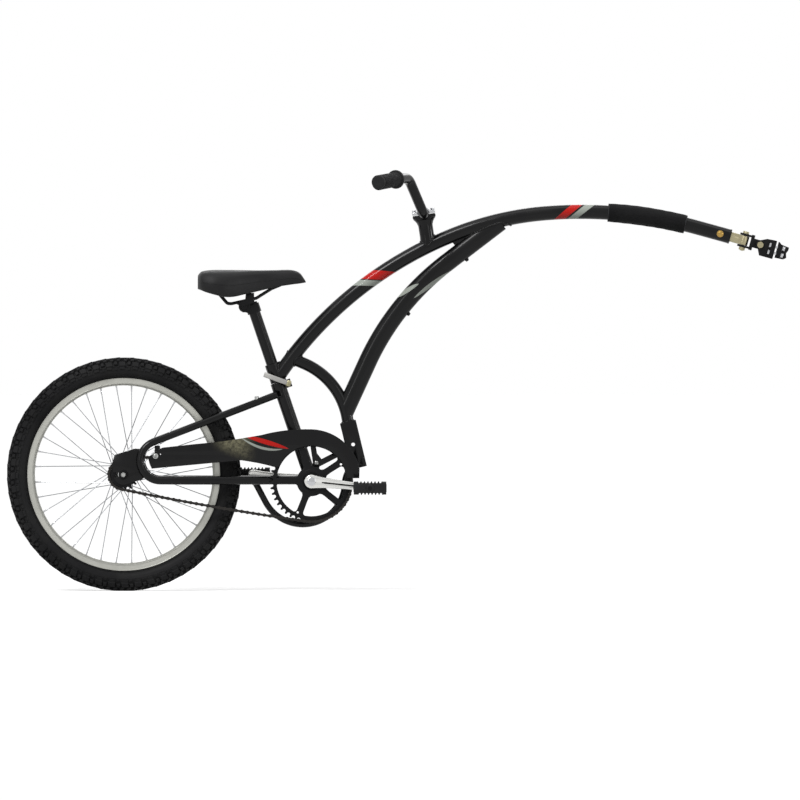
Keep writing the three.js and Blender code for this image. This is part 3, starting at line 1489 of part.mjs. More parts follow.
function towHalf(front) {
  const split = towSplit / 2;
  const [from, to] = front ? [towBoreOffset + split, towBodyFront] : [pitchPinOffset, towBoreOffset - split];
  const side = new THREE.Shape();
  if (front) {
    side.moveTo(from, -towBottom * 0.82);
    side.lineTo(to - towCorner, -towCapBottom);
    side.lineTo(to, -towCapBottom * 0.72);
    side.lineTo(to - towCorner / 2, -towCapTop * 0.23);
    side.lineTo(to, towCapTop * 0.31);
    side.lineTo(to, towCapTop * 0.85);
    side.lineTo(from + towCorner, towCapTop);
    side.lineTo(from, towTop);
  } else {
    side.moveTo(to, -towBottom);
    side.lineTo(from + pitchLugRadius * 0.4, -towBottom);
    side.lineTo(from - pitchLugRadius * 0.3, -pitchLugRadius * 0.9);
    side.absarc(from, 0, pitchLugRadius, rad(-120), rad(-240), true);
    side.lineTo(from + pitchLugRadius * 1.2, towTop * 0.94);
    side.lineTo(to - towCorner, towTop);
    side.lineTo(to, towTop);
  }
  const wide = towBodyHalfWidth;
  const top = new THREE.Shape();
  if (front) {
    top.moveTo(from, -wide);
    top.lineTo(to - towCapNose, -wide);
    top.lineTo(to - towCapNose, -towBoreRadius);
    top.lineTo(to, -towBoreRadius * 0.7);
    top.lineTo(to, towBoreRadius * 0.7);
    top.lineTo(to - towCapNose, towBoreRadius);
    top.lineTo(to - towCapNose, wide);
    top.lineTo(from, wide);
  } else {
    const ear = towEarInner + towEarWall;
    top.moveTo(to, wide);
    top.lineTo(to - towBodyFlange, wide);
    top.lineTo(to - towBodyFlange, ear);
    top.lineTo(from - pitchLugRadius - overrun, ear);
    top.lineTo(from - pitchLugRadius - overrun, -ear);
    top.lineTo(to - towBodyFlange, -ear);
    top.lineTo(to - towBodyFlange, -wide);
    top.lineTo(to, -wide);
  }
  const reach = towBottom + overrun;
  const blank = slab(side, -wide - overrun, wide + overrun).intersect(prism(top, -reach, reach));
  const tools = [
    rod(point(towBoreOffset, 0, -cutterReach), point(towBoreOffset, 0, cutterReach), towBoreRadius, 20),
  ];
  if (!front) {
    const clearance = pitchLugRadius + pitchLugClearance;
    tools.push(
      box(pitchPinOffset - cutterReach, pitchPinOffset + clearance, -towEarInner, towEarInner, -cutterReach, cutterReach),
      crossRod(pitchPinOffset, 0, -cutterReach, cutterReach, pitchPinRadius + fitGap, 12),
    );
  }
  for (const y of [-towBoltY, towBoltY]) {
    for (const z of [towBoltUpper, towBoltLower]) {
      tools.push(rod(point(pitchPinOffset + overrun, y, z), point(towBodyFront + overrun, y, z), towBoltRadius + fitGap, 8));
    }
  }
  return largest(cut(blank, ...tools));
}

function towBolt(side, height) {
  const y = side * towBoltY;
  const back = towBoreOffset - towSplit / 2 - towBodyFlange - fitGap;
  const front = towBodyFront - towCapNose + fitGap;
  return join(
    rod(point(back - towNutThickness, y, height), point(front + joinDepth, y, height), towBoltRadius, 6),
    rod(point(front, y, height), point(front + towBoltHeadLength, y, height), towBoltHead, 8),
    rod(point(back - towNutThickness, y, height), point(back, y, height), towBoltHead, 6),
  );
}

function pitchPin() {
  const half = towEarInner + towEarWall + pitchPinSlack + fitGap;
  const head = half + pitchPinHead;
  return join(
    crossRod(pitchPinOffset, 0, -head, head, pitchPinRadius, 12),
    crossRod(pitchPinOffset, 0, -head, -half, pitchPinRadius * 1.7, 6),
    crossRod(pitchPinOffset, 0, half, head, pitchPinRadius * 1.7, 6),
  );
}

// Foam pad
function boomPad() {
  const end = boomPath.length - padSetback;
  const bore = clearOf(boomRadius, 12) + 2 * fitGap;
  return tube(new Stretch(boomPath, end - padLength, end), 3, 12, bore + padWall, bore + padWall, bore);
}

// Saddle clamp: jaws round the rails, a collar on the post and the serrated pivot behind it
function saddleClamp() {
  const from = postTop;
  const at = (shares) => outline(shares.map(
    ([x, z]) => [from.x + saddleClampReach * x, from.z + saddleClampRise * z],
  ));
  const jaws = slab(at([
    [-1, 0.24], [-0.47, 0.58], [-0.44, 0.97], [0.06, 1], [0.08, 0.36], [-0.67, 0.09],
  ]), -saddleClampWidth, saddleClampWidth);
  const yoke = slab(at([
    [-0.89, 0.18], [0.22, 0.45], [0.42, -0.06], [-0.11, -0.39], [-0.64, -0.27],
  ]), -saddleYokeWidth, saddleYokeWidth);
  const knob = crossRod(from.x - clampKnobSetback, from.z + clampKnobRise, -clampKnobWidth, clampKnobWidth, clampKnobRadius, 12);
  const collar = rod(onSeatAxis(postTopLength - clampCollarDrop), onSeatAxis(postTopLength + clampCollarRise),
    seatBore + clampCollarWall, 16);
  return largest(cut(
    join(jaws, yoke, knob, collar),
    rod(onSeatAxis(0), onSeatAxis(postTopLength + fitGap), seatBore, 20),
    ...[-1, 1].map((side) => rod(railPoint(railLow, side), railPoint(railHigh, side),
      clearOf(railRadius, 8), 8)),
  ));
}

const boomNoseTilt = THREE.MathUtils.radToDeg(-boomEnd.heading);
const hitchOrigin = beyondBoom(0);
const towBore = beyondBoom(towBoreOffset);

const wheelGroup = assembly(point(0, 0, 0), 0,
  piece('tyre', tyre(), rubber),
  piece('rim', rim(), silver),
  piece('hub', hub(), silver),
);

const crankGroup = assembly(bottomBracket, 0,
  piece('chainring', chainring(), blackSteel),
);

const armGroup = assembly(bottomBracket, -crankAngle,
  piece('crank_spindle', crankSpindle(), blackSteel),
  piece('crank_right', crankArm(-1), silver),
  piece('crank_left', crankArm(1), silver),
);

function pedalGroup(side, name) {
  const reach = side < 0 ? crankLength : -crankLength;
  const at = point(reach, 0, 0).applyAxisAngle(point(0, 1, 0), rad(-crankAngle)).add(bottomBracket);
  const body = pedal().translate([0, side * (crankInnerY + crankThickness + pedalStandoff + pedalWidth / 2), 0]);
  return assembly(at, 0,
    piece(`pedal_axle_${name}`, pedalAxle(side), blackSteel),
    piece(`pedal_${name}`, body, blackPlastic),
  );
}

const guardGroup = assembly(bottomBracket, 0,
  piece('chainguard', chainguard(), blackPaint),
  piece('guard_front_bracket', guardFrontBracket(), blackPaint),
  piece('guard_rear_bracket', guardRearBracket(), blackPaint),
  piece('guard_screw', guardScrew(), silver),
);

const seatGroup = assembly(bottomBracket, -seatAngle,
  piece('seat_collar', seatCollar(), blackPaint),
  piece('quick_release_skewer', seatSkewer(), silver),
);

const leverAt = onSeatAxis(collarMiddle).add(
  point(Math.cos(rad(seatAngle)), 0, Math.sin(rad(seatAngle))).multiplyScalar(collarBoltOffset),
).add(point(0, -leverY - fitGap, 0));

const leverGroup = assembly(leverAt, leverTilt,
  piece('quick_release_lever', quickLever(), silver),
);

const channelGroup = assembly(foldPivot, -channelTilt,
  piece('fold_channel', foldChannel(), blackPaint),
);

const clampGroup = assembly(clampCentre, -barPostTilt,
  piece('bar_post', barPost(), blackPaint),
  piece('bar_clamp_cap', barCap(), chrome),
);

const barGroup = assembly(clampCentre, 0,
  piece('handlebar', handlebar(), blackPaint),
  piece('grip_right', grip(-1), rubber),
  piece('grip_left', grip(1), rubber),
);

const hitchGroup = assembly(hitchOrigin, boomNoseTilt,
  piece('hitch_tongue', hitchTongue(), yellowZinc),
  piece('tongue_bolt', tongueBolt(), brass),
  piece('hitch_yoke', hitchYoke(), blackSteel),
  piece('kingpin', kingpin(), yellowZinc),
  piece('tow_clamp_body', towHalf(false), blackSteel),
  piece('tow_clamp_cap', towHalf(true), blackSteel),
  piece('pitch_pin', pitchPin(), yellowZinc),
  piece('tow_bolt_right_upper', towBolt(-1, towBoltUpper), chrome),
  piece('tow_bolt_right_lower', towBolt(-1, towBoltLower), chrome),
  piece('tow_bolt_left_upper', towBolt(1, towBoltUpper), chrome),
  piece('tow_bolt_left_lower', towBolt(1, towBoltLower), chrome),
);

const bike = assembly(point(0, 0, 0), 0,
  piece('boom_tube', boomTube(), blackPaint),
  piece('lower_tube', lowerTube(), blackPaint),
  piece('brace_tube', braceTube(), blackPaint),
  piece('seat_sleeve', seatSleeve(), blackPaint),
  piece('boom_pad', boomPad(), foam),
  piece('seatpost', seatPost(), blackPaint),
  piece('saddle', saddlePad(), vinyl),
  piece('saddle_base', saddleBase(), blackPlastic),
  piece('saddle_rails', railWire(railRadius), blackSteel),
  piece('saddle_clamp', saddleClamp(), blackSteel),
  piece('seat_tube', seatTube(), blackPaint),
  piece('bottom_bracket_shell', bbShell(), blackPaint),
  piece('bottom_bracket_cartridge', bbCartridge(), blackSteel),
  piece('stay_right', stay(-1), blackPaint),
  piece('stay_left', stay(1), blackPaint),
  piece('dropout_right', dropout(-1), blackPaint),
  piece('dropout_left', dropout(1), blackPaint),
  piece('loop_tube', loopTube(), blackPaint),
  piece('fold_bolt', foldBolt(), blackSteel),
  piece('rear_axle', crossRod(0, 0, -axleHalfLength, axleHalfLength, axleRadius, 12), silver),
  piece('axle_nut_right', axleNut(-1), blackSteel),
  piece('axle_nut_left', axleNut(1), blackSteel),
  piece('chain', chain(), chainSteel),
  piece('rear_cog', rearCog(), blackSteel),
  wheelGroup, crankGroup, armGroup, pedalGroup(-1, 'right'), pedalGroup(1, 'left'), guardGroup,
  seatGroup, leverGroup, channelGroup, clampGroup, barGroup, hitchGroup,
);

const trailer = new THREE.Group();
bike.position.set(-towBore.x, 0, -towBore.z);
trailer.add(bike);

export default trailer;
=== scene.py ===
"""A child's one-wheeled trailer bike, shown on white from its drive side.

Forms are made in millimetres about a place of their own and then set into the frame's metres.
"""

import json
from contextlib import contextmanager
from math import asin, atan2, ceil, copysign, cos, degrees, exp, floor, hypot, pi, radians, sin, sqrt, tan

import bmesh
import bpy
from mathutils import Matrix, Vector


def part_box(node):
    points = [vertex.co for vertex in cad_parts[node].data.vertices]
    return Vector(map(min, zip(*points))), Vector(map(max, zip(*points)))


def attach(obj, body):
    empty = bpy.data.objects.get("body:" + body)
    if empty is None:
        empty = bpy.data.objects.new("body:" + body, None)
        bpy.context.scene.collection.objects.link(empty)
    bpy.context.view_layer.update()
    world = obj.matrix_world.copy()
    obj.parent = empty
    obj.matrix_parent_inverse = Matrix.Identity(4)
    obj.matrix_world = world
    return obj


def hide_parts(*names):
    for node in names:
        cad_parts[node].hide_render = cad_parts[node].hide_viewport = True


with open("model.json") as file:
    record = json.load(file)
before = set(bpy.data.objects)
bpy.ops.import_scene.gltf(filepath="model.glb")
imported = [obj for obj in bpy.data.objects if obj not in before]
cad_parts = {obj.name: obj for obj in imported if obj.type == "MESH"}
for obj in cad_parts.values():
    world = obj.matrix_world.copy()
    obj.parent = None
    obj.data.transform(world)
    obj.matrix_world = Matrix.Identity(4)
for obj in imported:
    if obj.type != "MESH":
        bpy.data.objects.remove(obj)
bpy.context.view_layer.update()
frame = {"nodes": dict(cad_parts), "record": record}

record = frame["record"]
JOINTS = {joint["name"]: Vector(joint["pos_m"]) for joint in record["behaviour"]["joints"] if "pos_m" in joint}
BODY_OF = {node: body for body, nodes in record["behaviour"]["bodies"].items() for node in nodes}
SLOT_OF = {part["node"]: part["material_slot"] for part in record["subparts"]}
SCENE = bpy.context.scene
MM = 0.001
SIDES = ((-1, "right"), (1, "left"))
PATH_STEPS = 1600


# Places: local millimetres, tilted about Y, into the frame's metres
def placed(origin, tilt=0.0):
    return Matrix.Translation(origin) @ Matrix.Rotation(radians(tilt), 4, "Y") @ Matrix.Scale(MM, 4)


AXLE = JOINTS["wheel_spin"]
CRANK_AXIS = JOINTS["crank_spin"]
CLAMP_AXIS = JOINTS["bar_tilt"]
FOLD_AXIS = JOINTS["frame_fold"]
BIKE = placed(AXLE)
RING = placed(CRANK_AXIS)
BB = (CRANK_AXIS - AXLE) / MM
FOLD_SPOT = (FOLD_AXIS - AXLE) / MM

CRANK_ANGLE = 6
SEAT_ANGLE = 18.7
CHANNEL_TILT = 13.5
CHANNEL_TOP = 88.6
POST_TILT = 8.5
LEVER_TILT = 20

ARMS = placed(CRANK_AXIS, CRANK_ANGLE)
SEAT = placed(CRANK_AXIS, -SEAT_ANGLE)
CLAMP = placed(CLAMP_AXIS, -POST_TILT)
BAR = placed(CLAMP_AXIS)
LEVER = placed(JOINTS["lever_flip"], LEVER_TILT)


# Centre lines
class BendPath:
    """Straight runs and bends in the plane of the wheel, left turns positive."""

    def __init__(self, start, heading, runs):
        self.start, self.heading = start, radians(heading)
        self.runs = [(r[0], 0.0) if len(r) == 1 else (r[0] * abs(radians(r[1])), radians(r[1])) for r in runs]
        self.length = sum(run for run, _ in self.runs)

    def at(self, distance):
        x, z = self.start
        heading, left = self.heading, distance
        for run, turn in self.runs:
            step = min(left, run)
            bend = turn * step / run
            chord = step if abs(bend) < 1e-9 else 2 * sin(bend / 2) * step / bend
            x += chord * cos(heading + bend / 2)
            z += chord * sin(heading + bend / 2)
            heading += bend
            left -= step
        return x, z, heading

    def points(self, spacing, start=0.0, end=None):
        end = self.length if end is None else end
        count = max(2, int((end - start) / spacing))
        return [Vector((p[0], 0, p[1])) for p in (self.at(start + (end - start) * i / count) for i in range(count + 1))]

    def run_near(self, x, z, weight_x=1.0, weight_z=1.0):
        """The run whose place is closest to a point. A weight of zero leaves one direction out."""
        off = lambda s: weight_x * abs(self.at(s)[0] - x) + weight_z * abs(self.at(s)[1] - z)
        return min((self.length * i / PATH_STEPS for i in range(PATH_STEPS + 1)), key=off)

    def run_where_x(self, x):
        return self.run_near(x, 0, 1, 0)

    def run_where_z(self, z):
        return self.run_near(0, z, 0, 1)


def bent_through(corners, radius, spacing=4.0):
    """Straight runs between corners, with a true arc at each."""
    line = [corners[0]]
    for before, corner, after in zip(corners, corners[1:], corners[2:]):
        back, on = (before - corner).normalized(), (after - corner).normalized()
        half = back.angle(on) / 2
        sweep = pi - 2 * half
        centre = corner + (back + on).normalized() * (radius / sin(half))
        entry = corner + back * (radius / tan(half))
        outward = (entry - centre).normalized()
        steps = max(4, int(radius * sweep / spacing))
        line += [
            centre + outward * (radius * cos(sweep * i / steps)) - back * (radius * sin(sweep * i / steps))
            for i in range(steps + 1)
        ]
    return line + [corners[-1]]


def even(line, spacing, closed=False):
    """The same line with points at an even spacing."""
    line = list(line) + ([line[0]] if closed else [])
    lengths = [0.0]
    for a, b in zip(line, line[1:]):
        lengths.append(lengths[-1] + (b - a).length)
    count = max(3, round(lengths[-1] / spacing))
    result, k = [], 0
    for i in range(count if closed else count + 1):
        target = lengths[-1] * i / count
        while k < len(line) - 2 and lengths[k + 1] < target:
            k += 1
        span = lengths[k + 1] - lengths[k]
        result.append(line[k].lerp(line[k + 1], (target - lengths[k]) / span if span > 1e-9 else 0))
    return result


def turns(count):
    """The angles of so many even steps round a circle."""
    return [2 * pi * k / count for k in range(count)]


# Forms: corners in local millimetres and the faces between them
class Form:
    def __init__(self, corners=(), faces=()):
        self.corners = [Vector(c) for c in corners]
        self.faces = [tuple(f) for f in faces]

    def add(self, *others):
        for other in others:
            first = len(self.corners)
            self.corners += other.corners
            self.faces += [tuple(i + first for i in face) for face in other.faces]
        return self

    def moved(self, matrix):
        return Form([matrix @ c for c in self.corners], self.faces)


def skin(rings, closed=False):
    """A skin through rings of equally many points, capped unless it closes on itself."""
    count = len(rings[0])
    form = Form([c for ring in rings for c in ring])
    for i in range(len(rings) if closed else len(rings) - 1):
        a, b = i * count, (i + 1) % len(rings) * count
        form.faces += [(a + j, a + (j + 1) % count, b + (j + 1) % count, b + j) for j in range(count)]
    if not closed:
        far = (len(rings) - 1) * count
        form.faces += [tuple(reversed(range(count))), tuple(range(far, far + count))]
    return form


def swept(centres, radius, sides=32, deep=1.0, closed=False, start_out=None):
    """A tube along a line. The radius may be a function of the share travelled."""
    size = radius if callable(radius) else lambda share: radius
    out, heading, rings = start_out, None, []
    last = len(centres) - 1
    for i, centre in enumerate(centres):
        if closed:
            along = (centres[(i + 1) % (last + 1)] - centres[i - 1]).normalized()
        else:
            along = (centres[min(i + 1, last)] - centres[max(i - 1, 0)]).normalized()
        if out is None:
            out = Vector((along.y, -along.x, 0))
            out = out.normalized() if out.length > 0.1 else Vector((0, 1, 0)).cross(along).normalized()
        elif heading is not None:
            out = heading.rotation_difference(along) @ out
        out = (out - along * out.dot(along)).normalized()
        heading = along
        across = along.cross(out)
        r = size(i / max(last, 1))
        rings.append([centre + out * (r * cos(t)) + across * (r * deep * sin(t)) for t in turns(sides)])
    return skin(rings, closed)


def flats(phi, apothem, sides):
    step = 2 * pi / sides
    return apothem / cos((phi + step / 2) % step - step / 2)


def turned(levels, start=(0, 0, 0), along=(0, 0, 1), samples=40):
    """A turned piece from (height, radius) levels. A third value gives it flats, a fourth rounds their corners."""
    turn = Vector(along).normalized().to_track_quat("Z", "Y")
    rings = []
    for height, radius, *shape in levels:
        ring = []
        for phi in turns(samples):
            r = flats(phi, radius, shape[0]) if shape else radius
            r = min([r, *shape[1:]])
            ring.append(Vector(start) + turn @ Vector((r * cos(phi), r * sin(phi), height)))
        rings.append(ring)
    return skin(rings)


def rod(start, end, radius, edge=0.4, samples=32):
    length = (Vector(end) - Vector(start)).length
    levels = [(0, radius - edge), (edge, radius), (length - edge, radius), (length, radius - edge)]
    return turned(levels, start, Vector(end) - Vector(start), samples)


def pipe(start, end, radius, bore, edge=0.5, samples=40):
    """A tube with its wall seen at both ends."""
    start, along = Vector(start), Vector(end) - Vector(start)
    length, turn = along.length, along.to_track_quat("Z", "Y")
    wall = [(radius - edge, 0), (radius, edge), (radius, length - edge), (radius - edge, length)]
    section = [(bore, 0), *wall, (bore, length)]
    rings = [[start + turn @ Vector((r * cos(t), r * sin(t), h)) for r, h in section] for t in turns(samples)]
    return skin(rings, closed=True)


def lathe(section, steps):
    """A closed section of (y, radius) points carried round the Y axis."""
    return skin([[Vector((r * cos(t), y, r * sin(t))) for y, r in section] for t in turns(steps)], closed=True)


def ring_section(y, radius, size, corners):
    """A small round section for the lathe."""
    return [(y + size * cos(t), radius + size * sin(t)) for t in turns(corners)]


def hex_head(start, along, across, height):
    """A hexagonal head with its washer face and chamfered corners."""
    flat = across / 2
    corner = flat * 1.155
    return turned([
        (0, flat * 0.95), (height * 0.08, flat * 0.95), (height * 0.09, flat, 6, corner),
        (height * 0.75, flat, 6, corner), (height * 0.97, flat, 6, flat * 1.02), (height, flat * 0.9),
        (height * 0.96, flat * 0.5),
    ], start, along, 48)


def socket_head(start, along, radius, height, key=0.5):
    """A cap screw's head with its hexagonal recess."""
    flat = radius * key
    return turned([
        (0, radius * 0.97), (height * 0.06, radius), (height * 0.85, radius), (height, radius * 0.88),
        (height, flat * 1.12), (height * 0.9, flat, 6), (height * 0.35, flat, 6), (height * 0.3, flat * 0.1),
    ], start, along, 48)


def pan_head(start, along, radius, height):
    """A domed screw head with a cross recess."""
    turn = Vector(along).normalized().to_track_quat("Z", "Y")
    rings = []
    for share, rise in [(1, 0), (1, 0.3), (0.9, 0.65), (0.7, 0.88), (0.5, 0.97), (0.3, 1.0), (0.12, 1.0)]:
        ring, r = [], radius * share
        for phi in turns(48):
            cross = max(0.0, cos(2 * phi) ** 2 - 0.55) if share < 0.6 else 0.0
            place = Vector((r * cos(phi), r * sin(phi), height * (rise - cross * 1.2)))
            ring.append(Vector(start) + turn @ place)
        rings.append(ring)
    return skin(rings)


def evaluated(data, dress=None):
    """The mesh that a curve or a mesh turns into once its modifiers have run."""
    holder = bpy.data.objects.new("holder", data)
    SCENE.collection.objects.link(holder)
    if dress:
        dress(holder)
    mesh = bpy.data.meshes.new_from_object(holder.evaluated_get(bpy.context.evaluated_depsgraph_get()))
    bpy.data.objects.remove(holder)
    return mesh


def plate(loops, low, high, edge=0.5, rounds=1):
    """A flat plate from outlines in X and Z, holes included, with rounded edges, from one Y to another."""
    curve = bpy.data.curves.new("outline", "CURVE")
    curve.dimensions = "2D"
    curve.fill_mode = "BOTH"
    curve.extrude = (high - low) / 2 - edge
    curve.bevel_depth = edge
    curve.bevel_resolution = rounds
    curve.offset = -edge
    for loop in loops:
        spline = curve.splines.new("POLY")
        spline.points.add(len(loop) - 1)
        for corner, (x, z) in zip(spline.points, loop):
            corner.co = (x, z, 0, 1)
        spline.use_cyclic_u = True
    mesh = evaluated(curve)
    middle = (low + high) / 2
    form = Form([(v.co.x, middle + v.co.z, v.co.y) for v in mesh.vertices], [p.vertices for p in mesh.polygons])
    bpy.data.curves.remove(curve)
    bpy.data.meshes.remove(mesh)
    return form


def arc(cx, cz, radius, start, end, steps=24):
    angles = [radians(start + (end - start) * i / steps) for i in range(steps + 1)]
    return [(cx + radius * cos(t), cz + radius * sin(t)) for t in angles]


def circle(cx, cz, radius, steps=32):
    return arc(cx, cz, radius, 0, 360, steps)[:-1]


def rounded_block(size, edge, centre=(0, 0, 0)):
    bm = bmesh.new()
    bmesh.ops.create_cube(bm, size=1)
    for v in bm.verts:
        v.co = Vector((v.co.x * size[0], v.co.y * size[1], v.co.z * size[2])) + Vector(centre)
    bmesh.ops.bevel(bm, geom=bm.edges[:], offset=edge, segments=3, profile=0.5, affect="EDGES")
    bm.verts.index_update()
    form = Form([v.co.copy() for v in bm.verts], [[v.index for v in f.verts] for f in bm.faces])
    bm.free()
    return form


def smooth_line(points, steps):
    """Points in between, on a smooth curve through all of them."""
    last = len(points) - 1
    result = []
    for i in range(last):
        p = [points[min(max(i + k, 0), last)] for k in (-1, 0, 1, 2)]
        for t in (s / steps for s in range(steps)):
            result.append(tuple(
                0.5 * (2 * b + (c - a) * t + (2 * a - 5 * b + 4 * c - d) * t * t + (3 * b - a - 3 * c + d) * t ** 3)
                for a, b, c, d in zip(*p)
            ))
    return result + [tuple(points[-1])]


# Turning forms into pieces
@contextmanager
def editing(mesh):
    bm = bmesh.new()
    bm.from_mesh(mesh)
    yield bm
    bm.to_mesh(mesh)
    bm.free()


def mesh_from(name, form, place, weld=2e-6):
    mesh = bpy.data.meshes.new(name)
    mesh.from_pydata([place @ c for c in form.corners], [], form.faces)
    with editing(mesh) as bm:
        bmesh.ops.remove_doubles(bm, verts=bm.verts, dist=weld)
        bmesh.ops.recalc_face_normals(bm, faces=bm.faces)
    return mesh


def as_piece(name, mesh, material, like, stands_for=(), angle=32):
    """A finished piece that rides on the body of a CAD node."""
    mesh.name = name
    mesh.materials.clear()
    mesh.materials.append(material)
    for polygon in mesh.polygons:
        polygon.material_index = 0
        polygon.use_smooth = True
    mesh.set_sharp_from_angle(angle=radians(angle))
    piece = bpy.data.objects.new(name, mesh)
    SCENE.collection.objects.link(piece)
    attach(piece, BODY_OF[like])
    if stands_for:
        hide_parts(*stands_for)
    return piece


def made(name, form, place, material, like, angle=32):
    return as_piece(name, mesh_from(name, form, place), material, like, (), angle)


def stand_in(name, form, place, material, node, angle=32):
    """A piece that takes the place of the CAD node it is like."""
    return as_piece(name, mesh_from(name, form, place), material, node, (node,), angle)


def marked(piece, name, values):
    """Stores a vector for each corner, for the paint to read."""
    attribute = piece.data.attributes.new(name, "FLOAT_VECTOR", "POINT")
    for item, value in zip(attribute.data, values):
        item.vector = value


def softened(node, name, material, width, segments=2):
    """A CAD node's shape with its edges rounded."""
    mesh = frame["nodes"][node].data.copy()
    with editing(mesh) as bm:
        bmesh.ops.remove_doubles(bm, verts=bm.verts, dist=1e-6)
        bmesh.ops.dissolve_limit(bm, angle_limit=radians(0.6), verts=bm.verts, edges=bm.edges)
        bmesh.ops.recalc_face_normals(bm, faces=bm.faces)

    def rounding(holder):
        bevel = holder.modifiers.new("Rounding", "BEVEL")
        bevel.width = width * MM
        bevel.segments = segments
        bevel.limit_method = "ANGLE"
        bevel.angle_limit = radians(30)
        bevel.use_clamp_overlap = True

    result = evaluated(mesh, rounding)
    bpy.data.meshes.remove(mesh)
    if "sharp_edge" in result.attributes:
        result.attributes.remove(result.attributes["sharp_edge"])
    return as_piece(name, result, material, node, (node,), 40)


# Node graphs
class Graph:
    """A node tree with short ways to fill and wire it."""

    def __init__(self, tree):
        self.tree = tree

    def fill(self, socket, value):
        """Gives an input a number, or a wire from another node's output."""
        if isinstance(value, bpy.types.NodeSocket):
            self.tree.links.new(value, socket)
        else:
            socket.default_value = value

    def node(self, kind, inputs=None, **settings):
        node = self.tree.nodes.new(kind)
        for name, value in settings.items():
            setattr(node, name, value)
        for label, value in (inputs or {}).items():
            self.fill(node.inputs[label], value)
        return node

    def place(self):
        return self.node("ShaderNodeTexCoord").outputs["Object"]

    def attribute(self, name):
        return self.node("ShaderNodeAttribute", attribute_name=name).outputs["Vector"]

    def split(self, vector):
        return self.node("ShaderNodeSeparateXYZ", {0: vector}).outputs

    def noise(self, vector, scale, detail, roughness):
        labels = ("Vector", "Scale", "Detail", "Roughness")
        return self.node("ShaderNodeTexNoise", dict(zip(labels, (vector, scale, detail, roughness)))).outputs[0]

    def ranged(self, value, low, high, to_low=0.0, to_high=1.0, kind="SMOOTHSTEP"):
        labels = ("Value", "From Min", "From Max", "To Min", "To Max")
        values = dict(zip(labels, (value, low, high, to_low, to_high)))
        return self.node("ShaderNodeMapRange", values, interpolation_type=kind).outputs[0]

    def maths(self, operation, *values):
        return self.node("ShaderNodeMath", dict(enumerate(values)), operation=operation).outputs[0]

    def times(self, first, *others):
        for other in others:
            first = self.maths("MULTIPLY", first, other)
        return first

    def blend(self, mask, low, high):
        """One colour over another where the mask is."""
        tones = {label: (*tone, 1) if isinstance(tone, tuple) else tone for label, tone in ((6, low), (7, high))}
        return self.node("ShaderNodeMix", {"Factor": mask, **tones}, data_type="RGBA").outputs[2]


def new_group(name, kind, inputs, outputs):
    """An empty node group: its graph, and what its inputs give."""
    tree = bpy.data.node_groups.new(name, kind)
    for way, sockets in (("INPUT", inputs), ("OUTPUT", outputs)):
        for label, socket in sockets.items():
            tree.interface.new_socket(label, in_out=way, socket_type="NodeSocket" + socket)
    graph = Graph(tree)
    return graph, graph.node("NodeGroupInput").outputs


# Repeats made by geometry nodes
def realized(graph, copies, material):
    """The end of both trees: real copies in one material."""
    real = graph.node("GeometryNodeRealizeInstances", {0: copies.outputs[0]}).outputs[0]
    painted = graph.node("GeometryNodeSetMaterial", {"Geometry": real, "Material": material}).outputs[0]
    graph.node("NodeGroupOutput", {0: painted})
    return graph.tree


def repeat_tree():
    inputs = {"Geometry": "Geometry", "Count": "Int", "Turn": "Vector", "Step": "Vector", "Material": "Material"}
    graph, given = new_group("Repeated piece", "GeometryNodeTree", inputs, {"Geometry": "Geometry"})
    index = graph.node("GeometryNodeInputIndex").outputs[0]
    scaled = lambda label: graph.node(
        "ShaderNodeVectorMath", {0: given[label], "Scale": index}, operation="SCALE").outputs[0]
    points = graph.node("GeometryNodePoints", {"Count": given["Count"], "Position": scaled("Step")}).outputs[0]
    facing = graph.node("FunctionNodeEulerToRotation", {0: scaled("Turn")}).outputs[0]
    values = {"Points": points, "Instance": given["Geometry"], "Rotation": facing}
    return realized(graph, graph.node("GeometryNodeInstanceOnPoints", values), given["Material"])


def chain_tree():
    inputs = {"Geometry": "Geometry", "Inner link": "Object", "Outer link": "Object", "Material": "Material"}
    graph, given = new_group("Links along the chain", "GeometryNodeTree", inputs, {"Geometry": "Geometry"})
    odd = graph.maths("MODULO", graph.node("GeometryNodeInputIndex").outputs[0], 2)
    turn = graph.node("GeometryNodeInputNamedAttribute", {"Name": "facing"}, data_type="FLOAT_VECTOR")
    facing = graph.node("FunctionNodeEulerToRotation", {0: turn.outputs["Attribute"]}).outputs[0]
    both = graph.node("GeometryNodeJoinGeometry")
    for name, chosen in (("Inner link", graph.maths("SUBTRACT", 1, odd)), ("Outer link", odd)):
        shape = graph.node("GeometryNodeObjectInfo", {"Object": given[name]}).outputs["Geometry"]
        values = {"Points": given["Geometry"], "Selection": chosen, "Instance": shape, "Rotation": facing}
        graph.tree.links.new(graph.node("GeometryNodeInstanceOnPoints", values).outputs[0], both.inputs[0])
    return realized(graph, both, given["Material"])


REPEAT = repeat_tree()


def copied(mesh, tree, values, place):
    """What a tree makes of a mesh."""
    def dress(holder):
        modifier = holder.modifiers.new("Repeat", "NODES")
        modifier.node_group = tree
        for socket in tree.interface.items_tree:
            if socket.in_out == "INPUT" and socket.name in values:
                modifier[socket.identifier] = values[socket.name]

    result = evaluated(mesh, dress)
    result.transform(place)
    return result


def repeated(name, form, place, material, like, count, turn=(0, 0, 0), step=(0, 0, 0), angle=32):
    """Copies of a form, each turned and moved on from the last."""
    mesh = mesh_from(name, form, Matrix.Identity(4), 1e-3)
    values = {"Count": count, "Turn": turn, "Step": step, "Material": material}
    return as_piece(name, copied(mesh, REPEAT, values, place), material, like, (), angle)


# Finishes
BAND_EDGE = 0.0012
STREAK_EDGE = 0.0008


